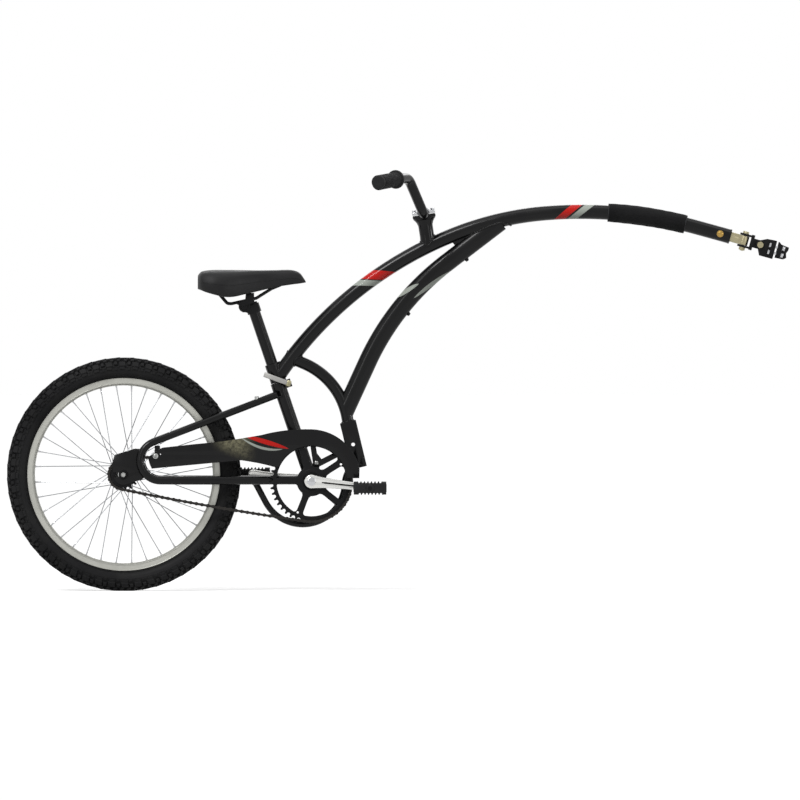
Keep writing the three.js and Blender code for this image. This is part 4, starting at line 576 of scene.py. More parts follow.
def wear_group():
    """Smudges from handling and a fine grain."""
    outputs = {"Smudge": "Float", "Grain": "Float"}
    graph, given = new_group("Handling wear", "ShaderNodeTree", {"Size": "Float"}, outputs)
    place = graph.place()
    smudge = graph.ranged(graph.noise(place, graph.times(given["Size"], 14), 5, 0.6), 0.35, 0.7)
    grain = graph.noise(place, graph.times(given["Size"], 1100), 2, 0.5)
    graph.node("NodeGroupOutput", {"Smudge": smudge, "Grain": grain})
    return graph.tree


def band_group():
    """A slanted band across a tube, from one run along it to another."""
    labels = ("Run", "Rise", "Start", "End", "Slant")
    graph, given = new_group("Slanted band", "ShaderNodeTree", dict.fromkeys(labels, "Float"), {"Mask": "Float"})
    run, rise, start, end, slant = (given[label] for label in labels)
    place = graph.maths("MULTIPLY_ADD", rise, slant, run)
    begins = graph.ranged(graph.maths("SUBTRACT", place, start), 0, BAND_EDGE)
    ends = graph.ranged(graph.maths("SUBTRACT", end, place), 0, BAND_EDGE)
    graph.node("NodeGroupOutput", {"Mask": graph.times(begins, ends)})
    return graph.tree


def streak_group():
    """A curved stripe that tapers to a point at both ends."""
    labels = ("From X", "From Z", "To X", "To Z", "Sag", "Width")
    inputs = {"Place": "Vector", **dict.fromkeys(labels, "Float")}
    graph, given = new_group("Tapered stripe", "ShaderNodeTree", inputs, {"Mask": "Float"})
    x, _, z = graph.split(given["Place"])
    from_x, from_z, to_x, to_z, sag, width = (given[label] for label in labels)
    less = lambda a, b: graph.maths("SUBTRACT", a, b)
    share = graph.maths("DIVIDE", less(x, from_x), less(to_x, from_x))
    swell = graph.times(share, less(1, share), 4)
    middle = graph.maths("MULTIPLY_ADD", less(to_z, from_z), share, from_z)
    middle = graph.maths("MULTIPLY_ADD", sag, swell, middle)
    half = graph.times(graph.maths("POWER", graph.maths("MAXIMUM", swell, 0.0), 0.7), width)
    inside = less(half, graph.maths("ABSOLUTE", less(z, middle)))
    graph.node("NodeGroupOutput", {"Mask": graph.ranged(inside, 0, STREAK_EDGE)})
    return graph.tree


WEAR, BAND, STREAK = wear_group(), band_group(), streak_group()


class Finish(Graph):
    """A material's graph, with its shader and its wear."""

    def __init__(self, name, color, roughness, metallic=0.0, size=1.0):
        self.material = bpy.data.materials.new(name)
        self.material.use_nodes = True
        super().__init__(self.material.node_tree)
        self.tree.nodes.clear()
        values = {"Roughness": roughness, "Metallic": metallic, "Base Color": (*color, 1)}
        self.shader = self.node("ShaderNodeBsdfPrincipled", values)
        self.node("ShaderNodeOutputMaterial", {0: self.shader.outputs[0]})
        self.wear = self.node("ShaderNodeGroup", {"Size": size}, node_tree=WEAR).outputs
        self.last_bump = None

    def put(self, label, value):
        self.fill(self.shader.inputs[label], value)
        return self

    def vary(self, low, high):
        """Roughness from one value to another, by the smudges."""
        return self.put("Roughness", self.ranged(self.wear["Smudge"], 0, 1, low, high, "LINEAR"))

    def smudged(self, amount, color, worn):
        """One colour with smudges of another."""
        return self.put("Base Color", self.blend(self.times(self.wear["Smudge"], amount), color, worn))

    def bump(self, height, strength, distance):
        values = {"Strength": strength, "Distance": distance * MM, "Height": height}
        if self.last_bump is not None:
            values["Normal"] = self.last_bump
        self.last_bump = self.node("ShaderNodeBump", values).outputs[0]
        return self.put("Normal", self.last_bump)

    def striped(self, color, group, values, tone, within=None):
        """A tone over a colour where a group's mask is, and nowhere outside another mask."""
        mask = self.node("ShaderNodeGroup", values, node_tree=group).outputs[0]
        return self.blend(mask if within is None else self.times(mask, within), color, tone)

    def streaked(self, color, place, start, end, sag, width, tone, within=None):
        labels = ("Place", "From X", "From Z", "To X", "To Z", "Sag", "Width")
        return self.striped(color, STREAK, dict(zip(labels, (place, *start, *end, sag, width))), tone, within)


def hex_color(code):
    """A written colour as linear light."""
    values = [int(code[i:i + 2], 16) / 255 for i in (0, 2, 4)]
    return tuple(v / 12.92 if v <= 0.04045 else ((v + 0.055) / 1.055) ** 2.4 for v in values)


BLACK, RED, SILVER_GREY, WARM_GREY = (hex_color(code) for code in ("0c0c0d", "c4170f", "a4aaa2", "88846a"))


def gloss_paint(name):
    finish = Finish(name, BLACK, 0.2)
    finish.put("Coat Weight", 0.14).put("Coat Roughness", 0.04).put("Specular IOR Level", 0.12)
    finish.vary(0.16, 0.3).bump(finish.wear["Grain"], 0.02, 0.03)
    lighter = tuple(c * 1.3 + 0.0015 for c in BLACK)
    finish.base = finish.blend(finish.times(finish.wear["Smudge"], 0.4), BLACK, lighter)
    return finish.put("Base Color", finish.base)


def metal(name, code, low, high, grain, streak=1, metallic=1.0, specular=0.5, worn=None):
    """A metal, its roughness from low to high, its grain drawn out by the streak."""
    color = hex_color(code)
    finish = Finish(name, color, low, metallic).put("Specular IOR Level", specular).vary(low, high)
    stretched = finish.node("ShaderNodeMapping", {"Vector": finish.place(), "Scale": (1, streak, 1)}).outputs[0]
    finish.bump(finish.noise(stretched, 260, 3, 0.6), grain, 0.08)
    return finish.smudged(0.5, color, worn or tuple(c * 0.72 for c in color)).material


def matt(name, code, low, high, grain=0.3, size=1.0):
    """A dull moulding, paler where it is smudged."""
    color = hex_color(code)
    finish = Finish(name, color, high, 0.0, size).put("Specular IOR Level", 0.2).vary(low, high)
    finish.bump(finish.wear["Grain"], grain, 0.12)
    return finish.smudged(0.5, color, tuple(c + 0.0175 for c in color)).material


PAINT = gloss_paint("Gloss black paint").material
SATIN = metal("Satin black steel", "1a1a1b", 0.34, 0.5, 0.12, metallic=0.4, specular=0.15)
CAST = metal("Black cast hitch", "171718", 0.42, 0.62, 0.5, metallic=0.3, specular=0.15)
BRIGHT = metal("Brushed silver", "a9aaa8", 0.24, 0.38, 0.12, 12)
ARM_METAL = metal("Polished crank arm", "d4d4d1", 0.14, 0.26, 0.1, 12)
RIM_METAL = metal("Machined rim", "b3b3ac", 0.36, 0.5, 0.14, metallic=0.75)
CHROME = metal("Polished chrome", "b9babc", 0.06, 0.16, 0.03)
WIRE = metal("Spoke wire", "8e9092", 0.2, 0.32, 0.05)
CAST_SILVER = metal("Cast silver lever", "a5a4a1", 0.42, 0.6, 0.6, metallic=0.7)
ZINC = metal("Yellow zinc plate", "9c9478", 0.3, 0.46, 0.15, worn=hex_color("84886e"))
BRASS = metal("Satin brass", "a98a4c", 0.22, 0.36, 0.1)
CHAIN_STEEL = metal("Oiled chain steel", "2c2a28", 0.3, 0.52, 0.1, metallic=0.8)
PLASTIC = matt("Matt black moulding", "141415", 0.42, 0.6, 0.35, 0.6)
BAR_RUBBER = matt("Grip rubber", "1a1a1b", 0.6, 0.85, 0.5, 0.8)
THREAD = matt("Black thread", "2a2a2c", 0.7, 0.85, 0.2)


def tyre_rubber():
    finish = Finish("Tyre rubber", hex_color("1e1e1f"), 0.8, 0.0, 0.5).put("Specular IOR Level", 0.15).vary(0.62, 0.86)
    finish.bump(finish.wear["Grain"], 0.45, 0.2)
    finish.bump(finish.noise(finish.place(), 90, 4, 0.6), 0.25, 0.4)
    dusty = finish.ranged(finish.noise(finish.place(), 30, 4, 0.6), 0.45, 0.75, 0, 0.5)
    return finish.put("Base Color", finish.blend(dusty, hex_color("181819"), hex_color("262625"))).material


def vinyl():
    """Grained saddle cover: small pebbles with finer pores between them."""
    finish = Finish("Saddle vinyl", hex_color("151516"), 0.5).vary(0.42, 0.58)
    finish.put("Sheen Weight", 0.04).put("Sheen Roughness", 0.5).put("Specular IOR Level", 0.2)
    cells = finish.node("ShaderNodeTexVoronoi", {"Vector": finish.place(), "Scale": 620}).outputs["Distance"]
    finish.bump(cells, 0.3, 0.22).bump(finish.wear["Grain"], 0.12, 0.06)
    return finish.smudged(0.4, hex_color("141415"), hex_color("202022")).material


def foam_cloth():
    """The woven cover of the boom's pad: crossed threads over foam."""
    finish = Finish("Pad cover cloth", hex_color("121213"), 0.9).vary(0.8, 0.95)
    finish.put("Sheen Weight", 0.06).put("Sheen Roughness", 0.6).put("Specular IOR Level", 0.1)
    wave = lambda axis: finish.node("ShaderNodeTexWave", {"Scale": 420, "Vector": finish.place()}, bands_direction=axis)
    x, y, z = (wave(axis).outputs["Fac"] for axis in "XYZ")
    weave = finish.times(x, finish.maths("ADD", y, z))
    finish.bump(weave, 0.35, 0.25)
    finish.bump(finish.noise(finish.place(), 60, 4, 0.6), 0.3, 0.6)
    return finish.put("Base Color", finish.blend(weave, hex_color("0e0e0f"), hex_color("1b1b1c"))).material


TYRE_RUBBER, VINYL, PAD_CLOTH = tyre_rubber(), vinyl(), foam_cloth()


# Wheel, about its axle, the axle along Y
TYRE_HALF = 26
CASING_RADIUS = 231
CASING_RISE = 21.5
TREAD_RADIUS = 252
TREAD_REPEATS = 52
RIM_FLANGE = 213
RIM_BED = 206
RIM_INNER = 197
RIM_HALF = 14.5
SPOKE_COUNT = 36
SPOKE_CROSSING = 57
HUB_FLANGE = 24
HUB_OFFSET = 29


def casing_at(phi):
    turn = radians(phi)
    return TYRE_HALF * sin(turn), CASING_RADIUS + CASING_RISE * cos(turn)


def knob(phi, along, length, width, height, skew=0.0):
    """A tread block on the casing: its angle round the section, then its place and size along the tyre."""
    y, r = casing_at(phi)
    turn = radians(phi)
    out = Vector((0, sin(turn), cos(turn)))
    side = Vector((0, cos(turn), -sin(turn)))
    rings = []
    for rise, share in ((-1.5, 1.08), (height * 0.78, 0.94), (height, 0.8)):
        ring = []
        for a, b in ((-1, -1), (1, -1), (1, 1), (-1, 1)):
            u, v = a * length / 2 * share, b * width / 2 * share
            ring.append(Vector((along + u + skew * v, y, r)) + side * v + out * rise)
        rings.append(ring)
    return skin(rings)


def build_tyre():
    section = [casing_at(phi) for phi in range(-128, 129, 8)]
    ribbed = lambda r: 0.45 if 216 < r < 236 and int(r * 1.4) % 3 == 0 else 0
    section = [(y + copysign(ribbed(r), y), r) for y, r in section]
    section += [(13.0, RIM_FLANGE + 1), (12.1, RIM_BED + 1), (-12.1, RIM_BED + 1), (-13.0, RIM_FLANGE + 1)]
    casing = lathe(section, 180)
    for rise, y, size in ((3.2, 18.6, 0.8), (17.4, 26.0, 0.7), (24, 25.6, 0.5)):
        for side, _ in SIDES:
            casing.add(lathe(ring_section(side * y, RIM_FLANGE + rise, size, 6), 160))
    stand_in("tyre_casing", casing, BIKE, TYRE_RUBBER, "tyre", 50)
    step = 2 * pi * TREAD_RADIUS / TREAD_REPEATS
    group = Form()
    for side, _ in SIDES:
        for half in (0, step / 2):
            group.add(
                knob(side * 12, side * step * 0.125 + half, 9.8, 8.5, 5.4, side * 0.25),
                knob(side * 33, -side * step * 0.125 + half, 8.4, 7.5, 5.2, -side * 0.35),
            )
        group.add(
            knob(side * 57, side * step * 0.1, 15.5, 12.5, 4.3, side * 0.12),
            knob(side * 53, side * step * 0.1 + step / 2, 7.5, 8.5, 4.2),
            knob(side * 78, side * step * 0.1, 12.5, 6.5, 2.3),
            knob(side * 84, side * step * 0.1 + step / 2, 6, 6, 1.5),
        )
    repeated("tyre_tread", group, BIKE, TYRE_RUBBER, "tyre", TREAD_REPEATS, (0, 2 * pi / TREAD_REPEATS, 0), angle=20)


def build_rim():
    half, inner, flange = RIM_HALF, RIM_INNER, RIM_FLANGE
    section = [
        (half * 0.55, inner - 0.6), (half * 0.72, inner), (half * 0.8, inner + 1), (half, inner + 3.4),
        (half + 0.1, inner + 4.2), (half - 0.35, inner + 4.8), (half - 0.35, flange - 2), (half + 0.1, flange - 1.4),
        (half + 0.1, flange - 0.3), (half - 0.7, flange + 0.3), (half - 1.8, flange - 0.2), (half - 2, RIM_BED),
    ]
    section += [(-y, r) for y, r in reversed(section)]
    stand_in("rim_hoop", lathe(section, 200), BIKE, RIM_METAL, "rim", 28)
    eyelet = turned([(-0.4, 3.4), (0.9, 3.3), (1.1, 2.6), (0.8, 2.0)], (0, 0, 0), (0, 0, -1), 16)
    holes = Form()
    for side, _ in SIDES:
        turn = Matrix.Rotation(radians(5 + 5 * (side + 1)), 4, "Y")
        holes.add(eyelet.moved(turn @ Matrix.Translation((0, side * 3, RIM_INNER - 0.2))))
    repeated("rim_eyelets", holes, BIKE, BRIGHT, "rim", SPOKE_COUNT // 2, (0, radians(20), 0))
    valve = turned([
        (0, 5), (2.4, 5), (2.6, 3.9), (24, 3.9), (24.2, 3.4), (25, 4.2), (34, 4.2), (35.5, 3.2),
    ], (0, 0, RIM_INNER + 0.5), (0, 0, -1), 20)
    made("tyre_valve", valve.moved(Matrix.Rotation(radians(80), 4, "Y")), BIKE, BAR_RUBBER, "rim")


def wheel_point(radius, angle, y):
    return Vector((radius * cos(angle), y, radius * sin(angle)))


def build_hub():
    inside, outside = HUB_OFFSET - 1.8, HUB_OFFSET + 1.8
    shell = [
        (-54, 8), (-53, 12), (-45, 12), (-44, 14.4), (-outside - 1, 15.4), (-outside, HUB_FLANGE - 1),
        (-outside + 0.8, HUB_FLANGE), (-inside - 0.8, HUB_FLANGE), (-inside, HUB_FLANGE - 1), (-inside + 4, 15),
        (-inside + 10, 12.6), (0, 11.8), (inside - 10, 12.6), (inside - 4, 15), (inside, HUB_FLANGE - 1),
        (inside + 0.8, HUB_FLANGE), (outside - 0.8, HUB_FLANGE), (outside, HUB_FLANGE - 1), (outside + 1, 15.4),
        (46, 13), (52, 12), (54, 8),
    ]
    stand_in("hub_shell", turned(shell, (0, 0, 0), (0, 1, 0), 64), BIKE, BRIGHT, "hub")
    spokes, nipples, heads = Form(), Form(), Form()
    for i in range(4):
        side = 1 if i % 2 else -1
        leading = 1 if (i // 2) % 2 else -1
        at_rim = 2 * pi * (i + 0.5) / SPOKE_COUNT
        at_hub = at_rim + leading * radians(SPOKE_CROSSING)
        root = wheel_point(HUB_FLANGE - 3, at_hub, side * (HUB_OFFSET + leading * 2.6))
        tip = wheel_point(RIM_INNER - 0.5, at_rim, side * 3)
        along = (tip - root).normalized()
        spokes.add(swept([root, root.lerp(tip, 0.5), tip], 0.95, 8))
        nipple = [(0, 1.3), (2, 1.5), (11, 1.55, 4, 1.9), (14, 2.3), (15, 2.4)]
        nipples.add(turned(nipple, tip - along * 13.5, along, 12))
        outward = -side * leading
        heads.add(turned([(-0.4, 1.9), (0.7, 1.9), (1.3, 1.3), (1.5, 0.4)],
                         root + Vector((0, outward * 3.8, 0)), (0, outward, 0), 12))
    turn = (0, -4 * 2 * pi / SPOKE_COUNT, 0)
    repeated("spokes", spokes, BIKE, WIRE, "hub", SPOKE_COUNT // 4, turn)
    repeated("spoke_nipples", nipples, BIKE, CHROME, "hub", SPOKE_COUNT // 4, turn)
    repeated("spoke_heads", heads, BIKE, WIRE, "hub", SPOKE_COUNT // 4, turn)


def build_axle():
    thread = Form()
    for side, _ in SIDES:
        thread.add(rod((0, side * 50, 0), (0, side * 76, 0), 4.5, 0.8))
    stand_in("axle_rod", thread.add(rod((0, -56, 0), (0, 56, 0), 4.9)), BIKE, BRIGHT, "rear_axle")
    ring = lathe(ring_section(0, 4.6, 0.42, 4), 20)
    for (side, name), start in zip(SIDES, (-76, 69.2)):
        place = Matrix.Translation((0, start + 0.5, 0))
        repeated(f"axle_thread_{name}", ring.moved(place), BIKE, BRIGHT, "rear_axle", 7, step=(0, 1.0, 0))
    for side, name in SIDES:
        y = side * 60.6
        nut = hex_head((0, y + side * 2, 0), (0, side, 0), 15, 7.4)
        washer = turned([(0, 10), (0.4, 10.4), (1.6, 10.4), (2, 10)], (0, y, 0), (0, side, 0), 40)
        stand_in(f"axle_nut_{name}_turned", nut.add(washer), BIKE, SATIN, f"axle_nut_{name}")


# Chain drive
PITCH = 12.7
LINKS = 96
RING_TEETH = 44
COG_TEETH = 16
CHAINLINE = 47
SPROCKET_HALF = 1.2


def pitch_radius(teeth):
    return PITCH / (2 * sin(pi / teeth))


RING_RADIUS, COG_RADIUS = pitch_radius(RING_TEETH), pitch_radius(COG_TEETH)
CENTRES = hypot(BB.x, BB.z)
LEAN = asin((RING_RADIUS - COG_RADIUS) / CENTRES)
RING_SPAN = (pi + 2 * LEAN) * RING_TEETH / (2 * pi)
COG_SPAN = (pi - 2 * LEAN) * COG_TEETH / (2 * pi)
RUN_SPAN = CENTRES * cos(LEAN) / PITCH


def chain_place(link):
    """A pin's place, counted from where the upper run meets the ring."""
    left = link % LINKS
    top = pi / 2 + LEAN
    spot = lambda cx, radius, angle: Vector((cx + radius * cos(angle), 0, radius * sin(angle)))
    if left <= RING_SPAN:
        place = spot(CENTRES, RING_RADIUS, top - left * 2 * pi / RING_TEETH)
    elif left <= RING_SPAN + RUN_SPAN:
        share = (left - RING_SPAN) / RUN_SPAN
        place = spot(CENTRES, RING_RADIUS, -top).lerp(spot(0, COG_RADIUS, -top), share)
        place.z -= 3.2 * 4 * share * (1 - share)
    elif left <= RING_SPAN + RUN_SPAN + COG_SPAN:
        place = spot(0, COG_RADIUS, -top - (left - RING_SPAN - RUN_SPAN) * 2 * pi / COG_TEETH)
    else:
        share = (left - RING_SPAN - RUN_SPAN - COG_SPAN) / RUN_SPAN
        place = spot(0, COG_RADIUS, top).lerp(spot(CENTRES, RING_RADIUS, top), share)
    return Matrix.Rotation(-atan2(BB.z, BB.x), 3, "Y") @ place


def link_outline(waist, eye):
    """A side plate's figure of eight between two pins."""
    top = arc(0, 0, eye, 50, 310, 10)
    far = arc(PITCH, 0, eye, -130, 130, 10)
    low = [(PITCH * 0.36, -waist), (PITCH * 0.64, -waist)]
    high = [(PITCH * 0.64, waist), (PITCH * 0.36, waist)]
    return top + low + far + high


def build_chain():
    inner, outer = Form(), Form()
    for side, _ in SIDES:
        inner.add(plate([link_outline(2.7, 4.0)], *sorted((side * 1.7, side * 2.6)), 0.2, 0))
        outer.add(plate([link_outline(2.5, 3.9)], *sorted((side * 2.8, side * 3.7)), 0.2, 0))
        for x in (0, PITCH):
            outer.add(turned([(0, 1.7), (0.5, 1.7), (0.8, 1.3)], (x, side * 3.65, 0), (0, side, 0), 10))
    for x in (0, PITCH):
        inner.add(turned([(-1.7, 3.7), (-1.6, 3.85), (1.6, 3.85), (1.7, 3.7)], (x, 0, 0), (0, 1, 0), 14))
    places = [chain_place(i) for i in range(LINKS)]
    mesh = bpy.data.meshes.new("pins")
    mesh.from_pydata([p + Vector((0, -CHAINLINE, 0)) for p in places], [], [])
    facing = mesh.attributes.new("facing", "FLOAT_VECTOR", "POINT")
    for i, item in enumerate(facing.data):
        way = places[(i + 1) % LINKS] - places[i]
        item.vector = (0, atan2(-way.z, way.x), 0)
    holders = []
    for name, form in (("inner_link", inner), ("outer_link", outer)):
        shape = bpy.data.objects.new(name, mesh_from(name, form, Matrix.Identity(4), 1e-3))
        SCENE.collection.objects.link(shape)
        holders.append(shape)
    values = {"Inner link": holders[0], "Outer link": holders[1], "Material": CHAIN_STEEL}
    result = copied(mesh, chain_tree(), values, BIKE)
    for shape in holders:
        bpy.data.objects.remove(shape)
    as_piece("chain_links", result, CHAIN_STEEL, "chain", ("chain",))


def toothed(teeth, radius, first):
    """A sprocket's outline: round valleys for the rollers and rounded tips."""
    points = []
    half = pi / teeth
    for i in range(teeth):
        valley = first + 2 * pi * i / teeth
        out = Vector((cos(valley), sin(valley)))
        side = Vector((-out.y, out.x))
        for t in (-62, -40, -20, 0, 20, 40, 62):
            turn = radians(t)
            spot = out * (radius - 4.0 * cos(turn)) + side * (4.0 * sin(turn))
            points.append(tuple(spot))
        for share, rise in ((0.62, 1.4), (0.86, 3.0), (1.0, 3.5), (1.14, 3.0), (1.38, 1.4)):
            angle = valley + half * share
            points.append(((radius + rise) * cos(angle), (radius + rise) * sin(angle)))
    return points


def ring_window(start, end, inner, outer):
    """The opening between two spokes of the ring, with rounded corners."""
    inset = lambda radius, half: degrees(asin(half / radius))
    spot = lambda radius, angle: (radius * cos(radians(angle)), radius * sin(radians(angle)))
    sides = [(outer - 2.5, 9), (outer - 7, 7.6), (inner + 12, 7.2), (inner + 4, 7.8)]
    return [
        *arc(0, 0, outer, start + inset(outer, 13), end - inset(outer, 13), 14),
        *[spot(radius, end - inset(radius, half)) for radius, half in sides],
        *arc(0, 0, inner, end - inset(inner, 10.5), start + inset(inner, 10.5), 6),
        *[spot(radius, start + inset(radius, half)) for radius, half in reversed(sides)],
    ]


def build_chainring():
    seat = chain_place(floor(RING_SPAN / 2)) - BB
    first = atan2(seat.z, seat.x)
    spokes = [33 + 72 * i for i in range(5)]
    windows = [ring_window(a, a + 72, 33, 77) for a in spokes]
    holes = [circle(75 * cos(radians(a - 3)), 75 * sin(radians(a - 3)), 2.5, 16) for a in spokes]
    loops = [toothed(RING_TEETH, RING_RADIUS, first)] + windows + holes
    disc = plate(loops, -CHAINLINE - SPROCKET_HALF, -CHAINLINE + SPROCKET_HALF, 0.35)
    spider_loops = [circle(0, 0, 82, 120)] + [ring_window(a, a + 72, 31, 77.4) for a in spokes] + holes
    spider = plate(spider_loops, -CHAINLINE - 2.6, -CHAINLINE - 0.6, 0.5, 2)
    levels = [(0, 27), (2.2, 27), (3.4, 25.6), (3.6, 20), (8, 18), (12.4, 17)]
    boss = turned(levels, (0, -CHAINLINE - 0.6, 0), (0, -1, 0), 64)
    stand_in("chainring_plate", disc.add(spider, boss), RING, SATIN, "chainring")


def build_cog():
    start = ceil(RING_SPAN + RUN_SPAN)
    seat = chain_place(start)
    first = atan2(seat.z, seat.x)
    loops = [toothed(COG_TEETH, COG_RADIUS, first), circle(0, 0, 16.4, 48)]
    disc = plate(loops, -CHAINLINE - SPROCKET_HALF, -CHAINLINE + SPROCKET_HALF, 0.35)
    body = pipe((0, -CHAINLINE - 4.5, 0), (0, -CHAINLINE + 7, 0), 22.6, 16.3, 0.8, 64)
    face = pipe((0, -CHAINLINE - 5.2, 0), (0, -CHAINLINE - 3.8, 0), 20.4, 17.2, 0.4, 64)
    stand_in("cog_plate", disc.add(body, face), BIKE, SATIN, "rear_cog")


# Cranks, along X from the crank axis
CRANK_LENGTH = 130
CRANK_BIG = 15.4
CRANK_SMALL = 10.5
CRANK_WAIST = 8.2
GROOVE_HALF = 1.7
CRANK_INNER = 60
CRANK_THICK = 12
CRANK_TAPER = 1.5


def arm_section(half, thick, groove):
    """One section of the arm, as (z, y): rounded corners, and a groove between two ridges on its outer face."""
    edge = min(3.2, half * 0.6, thick * 0.45)
    corners = []
    for cz, cy, start in ((half - edge, thick - edge, 0), (-half + edge, thick - edge, 90),
                          (-half + edge, edge, 180), (half - edge, edge, 270)):
        for k in range(5):
            t = radians(start + 22.5 * k)
            corners.append((cz + edge * cos(t), cy + edge * sin(t)))
    face = []
    for k in range(1, 26):
        z = (1 - 2 * k / 26) * (half - edge)
        flute = groove * max(0.0, 1 - (abs(z) / GROOVE_HALF) ** 2)
        face.append((z, thick - flute - 0.9 * (2 * abs(z) / half - 1) ** 2))
    return corners[:5] + face + corners[5:]


def crank_form(side):
    stations = []
    for i in range(9):
        x = -CRANK_BIG * cos(radians(90 * i / 8))
        stations.append((x, max(sqrt(max(CRANK_BIG ** 2 - x * x, 0)), 1.2)))
    for i in range(1, 24):
        x = CRANK_LENGTH * i / 24
        eye = min(max((x - 104) / 26, 0), 1)
        waist = CRANK_WAIST + (CRANK_BIG - CRANK_WAIST) * exp(-x / 38)
        stations.append((x, waist + (CRANK_SMALL - waist) * eye * eye * (3 - 2 * eye)))
    for i in range(9):
        x = CRANK_SMALL * sin(radians(90 * i / 8))
        stations.append((CRANK_LENGTH + x, max(sqrt(max(CRANK_SMALL ** 2 - x * x, 0)), 1.0)))
    rings = []
    for x, half in stations:
        flute = 2.4 * max(0, min(1, (x - 17) / 14, (CRANK_LENGTH - 19 - x) / 12))
        thick = CRANK_THICK - CRANK_TAPER * min(max(x / CRANK_LENGTH, 0), 1)
        rings.append([Vector((x, -CRANK_INNER - y, z)) for z, y in arm_section(half, thick, flute)])
    form = skin(rings)
    boss_from = 48.6 if side < 0 else 43.2
    form.add(turned([(0, 14.4), (0.8, 15.2), (60.5 - boss_from, 15.2)], (0, -boss_from, 0), (0, -1, 0), 48))
    form.add(turned([(0, 11), (0.9, 11), (1.4, 10)], (CRANK_LENGTH, -CRANK_INNER - 10.4, 0), (0, -1, 0), 40))
    return form if side < 0 else Form([(-c.x, -c.y, c.z) for c in form.corners], form.faces)


def build_cranks():
    for side, name in SIDES:
        stand_in(f"crank_arm_{name}", crank_form(side), ARMS, ARM_METAL, f"crank_{name}", 38)
        cap = turned([(0, 9.6), (0.9, 9.4), (1.5, 8.2), (2.1, 5), (2.3, 0.5)], (0, side * 71.6, 0), (0, side, 0), 40)
        made(f"crank_cap_{name}", cap, ARMS, CHROME, f"crank_{name}")
        # A dark strip laid in the bottom of each arm's flute: painted shade, a dark stand-in for the flute's shadow and
        # its dark reflection.
        depth = lambda x: CRANK_INNER + CRANK_THICK - CRANK_TAPER * x / CRANK_LENGTH
        painted_shade_strip = skin([[Vector((-side * x, side * (depth(x) - y), z))
                       for y, z in ((0.7, -width), (0.7, width), (2.4, width), (2.4, -width))]
                      for x, width in ((24, 0.3), (40, 1.1), (CRANK_LENGTH - 30, 1.2), (CRANK_LENGTH - 21, 0.4))])
        made(f"crank_groove_{name}", painted_shade_strip, ARMS, PLASTIC, f"crank_{name}")
    stand_in("crank_axle", rod((0, -69, 0), (0, 69, 0), 8.4), ARMS, SATIN, "crank_spindle")


PEDAL_HALF = 36.5
PEDAL_TOP = 14.3
PEDAL_TEETH = 8


def pedal_edge():
    """The cage's side: a row of narrow teeth along the top and the bottom, blunt ends."""
    pitch = 62 / PEDAL_TEETH
    top = []
    for i in range(PEDAL_TEETH):
        x = -31 + pitch * i
        top += [(x + 0.4, 10.4), (x + 2.6, PEDAL_TOP), (x + 4.0, PEDAL_TOP), (x + 5.4, 10.4)]
    top = [(-PEDAL_HALF, 8), (-33.5, 10)] + top + [(33.5, 10), (PEDAL_HALF, 8)]
    return top + [(-x, -z) for x, z in top]


def pedal_cage(near_face, far_face):
    """Two toothed sides, a tread block at the front and the rear, and the barrel between."""
    side = copysign(1, far_face)
    form = Form()
    for start in (near_face, far_face - side * 8):
        form.add(plate([pedal_edge(), circle(0, 0, 5.6, 24)], *sorted((start, start + side * 8)), 0.8, 2))
    block = ((27, -11), (28.5, -12.5), (34.5, -12.2), (36.2, -8), (36.2, 8), (34.5, 12.2), (28.5, 12.5), (27, 11))
    for end in (-1, 1):
        loop = [(end * x, z) for x, z in block]
        form.add(plate([loop], *sorted((near_face + side * 3, far_face - side * 3)), 0.8, 2))
    return form.add(pipe((0, near_face + side * 2, 0), (0, far_face - side * 2, 0), 9.8, 5.7, 0.5, 36))


def build_pedals():
    for side, name in SIDES:
        hub = JOINTS[f"pedal_{name}_spin"]
        place = placed(Vector((hub.x, 0, hub.z)))
        near_face, far_face = sorted((corner.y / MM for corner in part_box(f"pedal_{name}")), key=abs)
        stand_in(f"pedal_cage_{name}", pedal_cage(near_face, far_face), place, PLASTIC, f"pedal_{name}")
        axle = rod((0, side * 61, 0), (0, side * 170, 0), 5.3)
        levels = [(0, 8.2, 6, 9.2), (3.2, 8.2, 6, 9.2), (3.6, 7.4), (5.2, 7.0)]
        collar = turned(levels, (0, side * 72.4, 0), (0, side, 0), 36)
        stand_in(f"pedal_spindle_{name}", axle.add(collar), place, SATIN, f"pedal_axle_{name}")
        cap = turned([(0, 8.6), (1.2, 8.6), (2.4, 7.4), (2.8, 4), (2.8, 0.4)], (0, side * 167, 0), (0, side, 0), 32)
        made(f"pedal_dust_cap_{name}", cap, place, PLASTIC, f"pedal_{name}")
        ribs = Form()
        for x, z in ((x, z) for x in (-32, 32) for z in (-12.2, 12.2)):
            ribs.add(rounded_block((7.6, 2.4, 3.4), 0.6, (x, near_face + side * 13, z)))
        repeated(f"pedal_ribs_{name}", ribs, place, PLASTIC, f"pedal_{name}", 11, step=(0, side * 6.6, 0))


# Rear frame
SEAT_WAY = Vector((-sin(radians(SEAT_ANGLE)), 0, cos(radians(SEAT_ANGLE))))
SEAT_TUBE = 14.3
SEAT_WELD = 15.1
SHELL = 20
STAY_THIN = 7.95
STAY_THICK = 9.5
BRIDGE_X = 289.7
BRIDGE_Z = -17
BRIDGE_RADIUS = 7
BRIDGE = Vector((BRIDGE_X, 0, BRIDGE_Z))


def on_seat_axis(distance):
    return BB + SEAT_WAY * distance


def crosswise(spot, half):
    """The two ends of a line through a point, across the bike."""
    return spot - Vector((0, half, 0)), spot + Vector((0, half, 0))


def ripple(points, radius, closed=True):
    """A weld bead: a thick line of overlapping drops."""
    line = even(points, 0.75, closed)
    count = len(line)
    drops = max(1, round(count / 4))
    size = lambda share: radius * (0.86 + 0.2 * abs(sin(pi * share * drops * (count / max(count - 1, 1)))))
    return swept(line, size, 8, closed=closed)


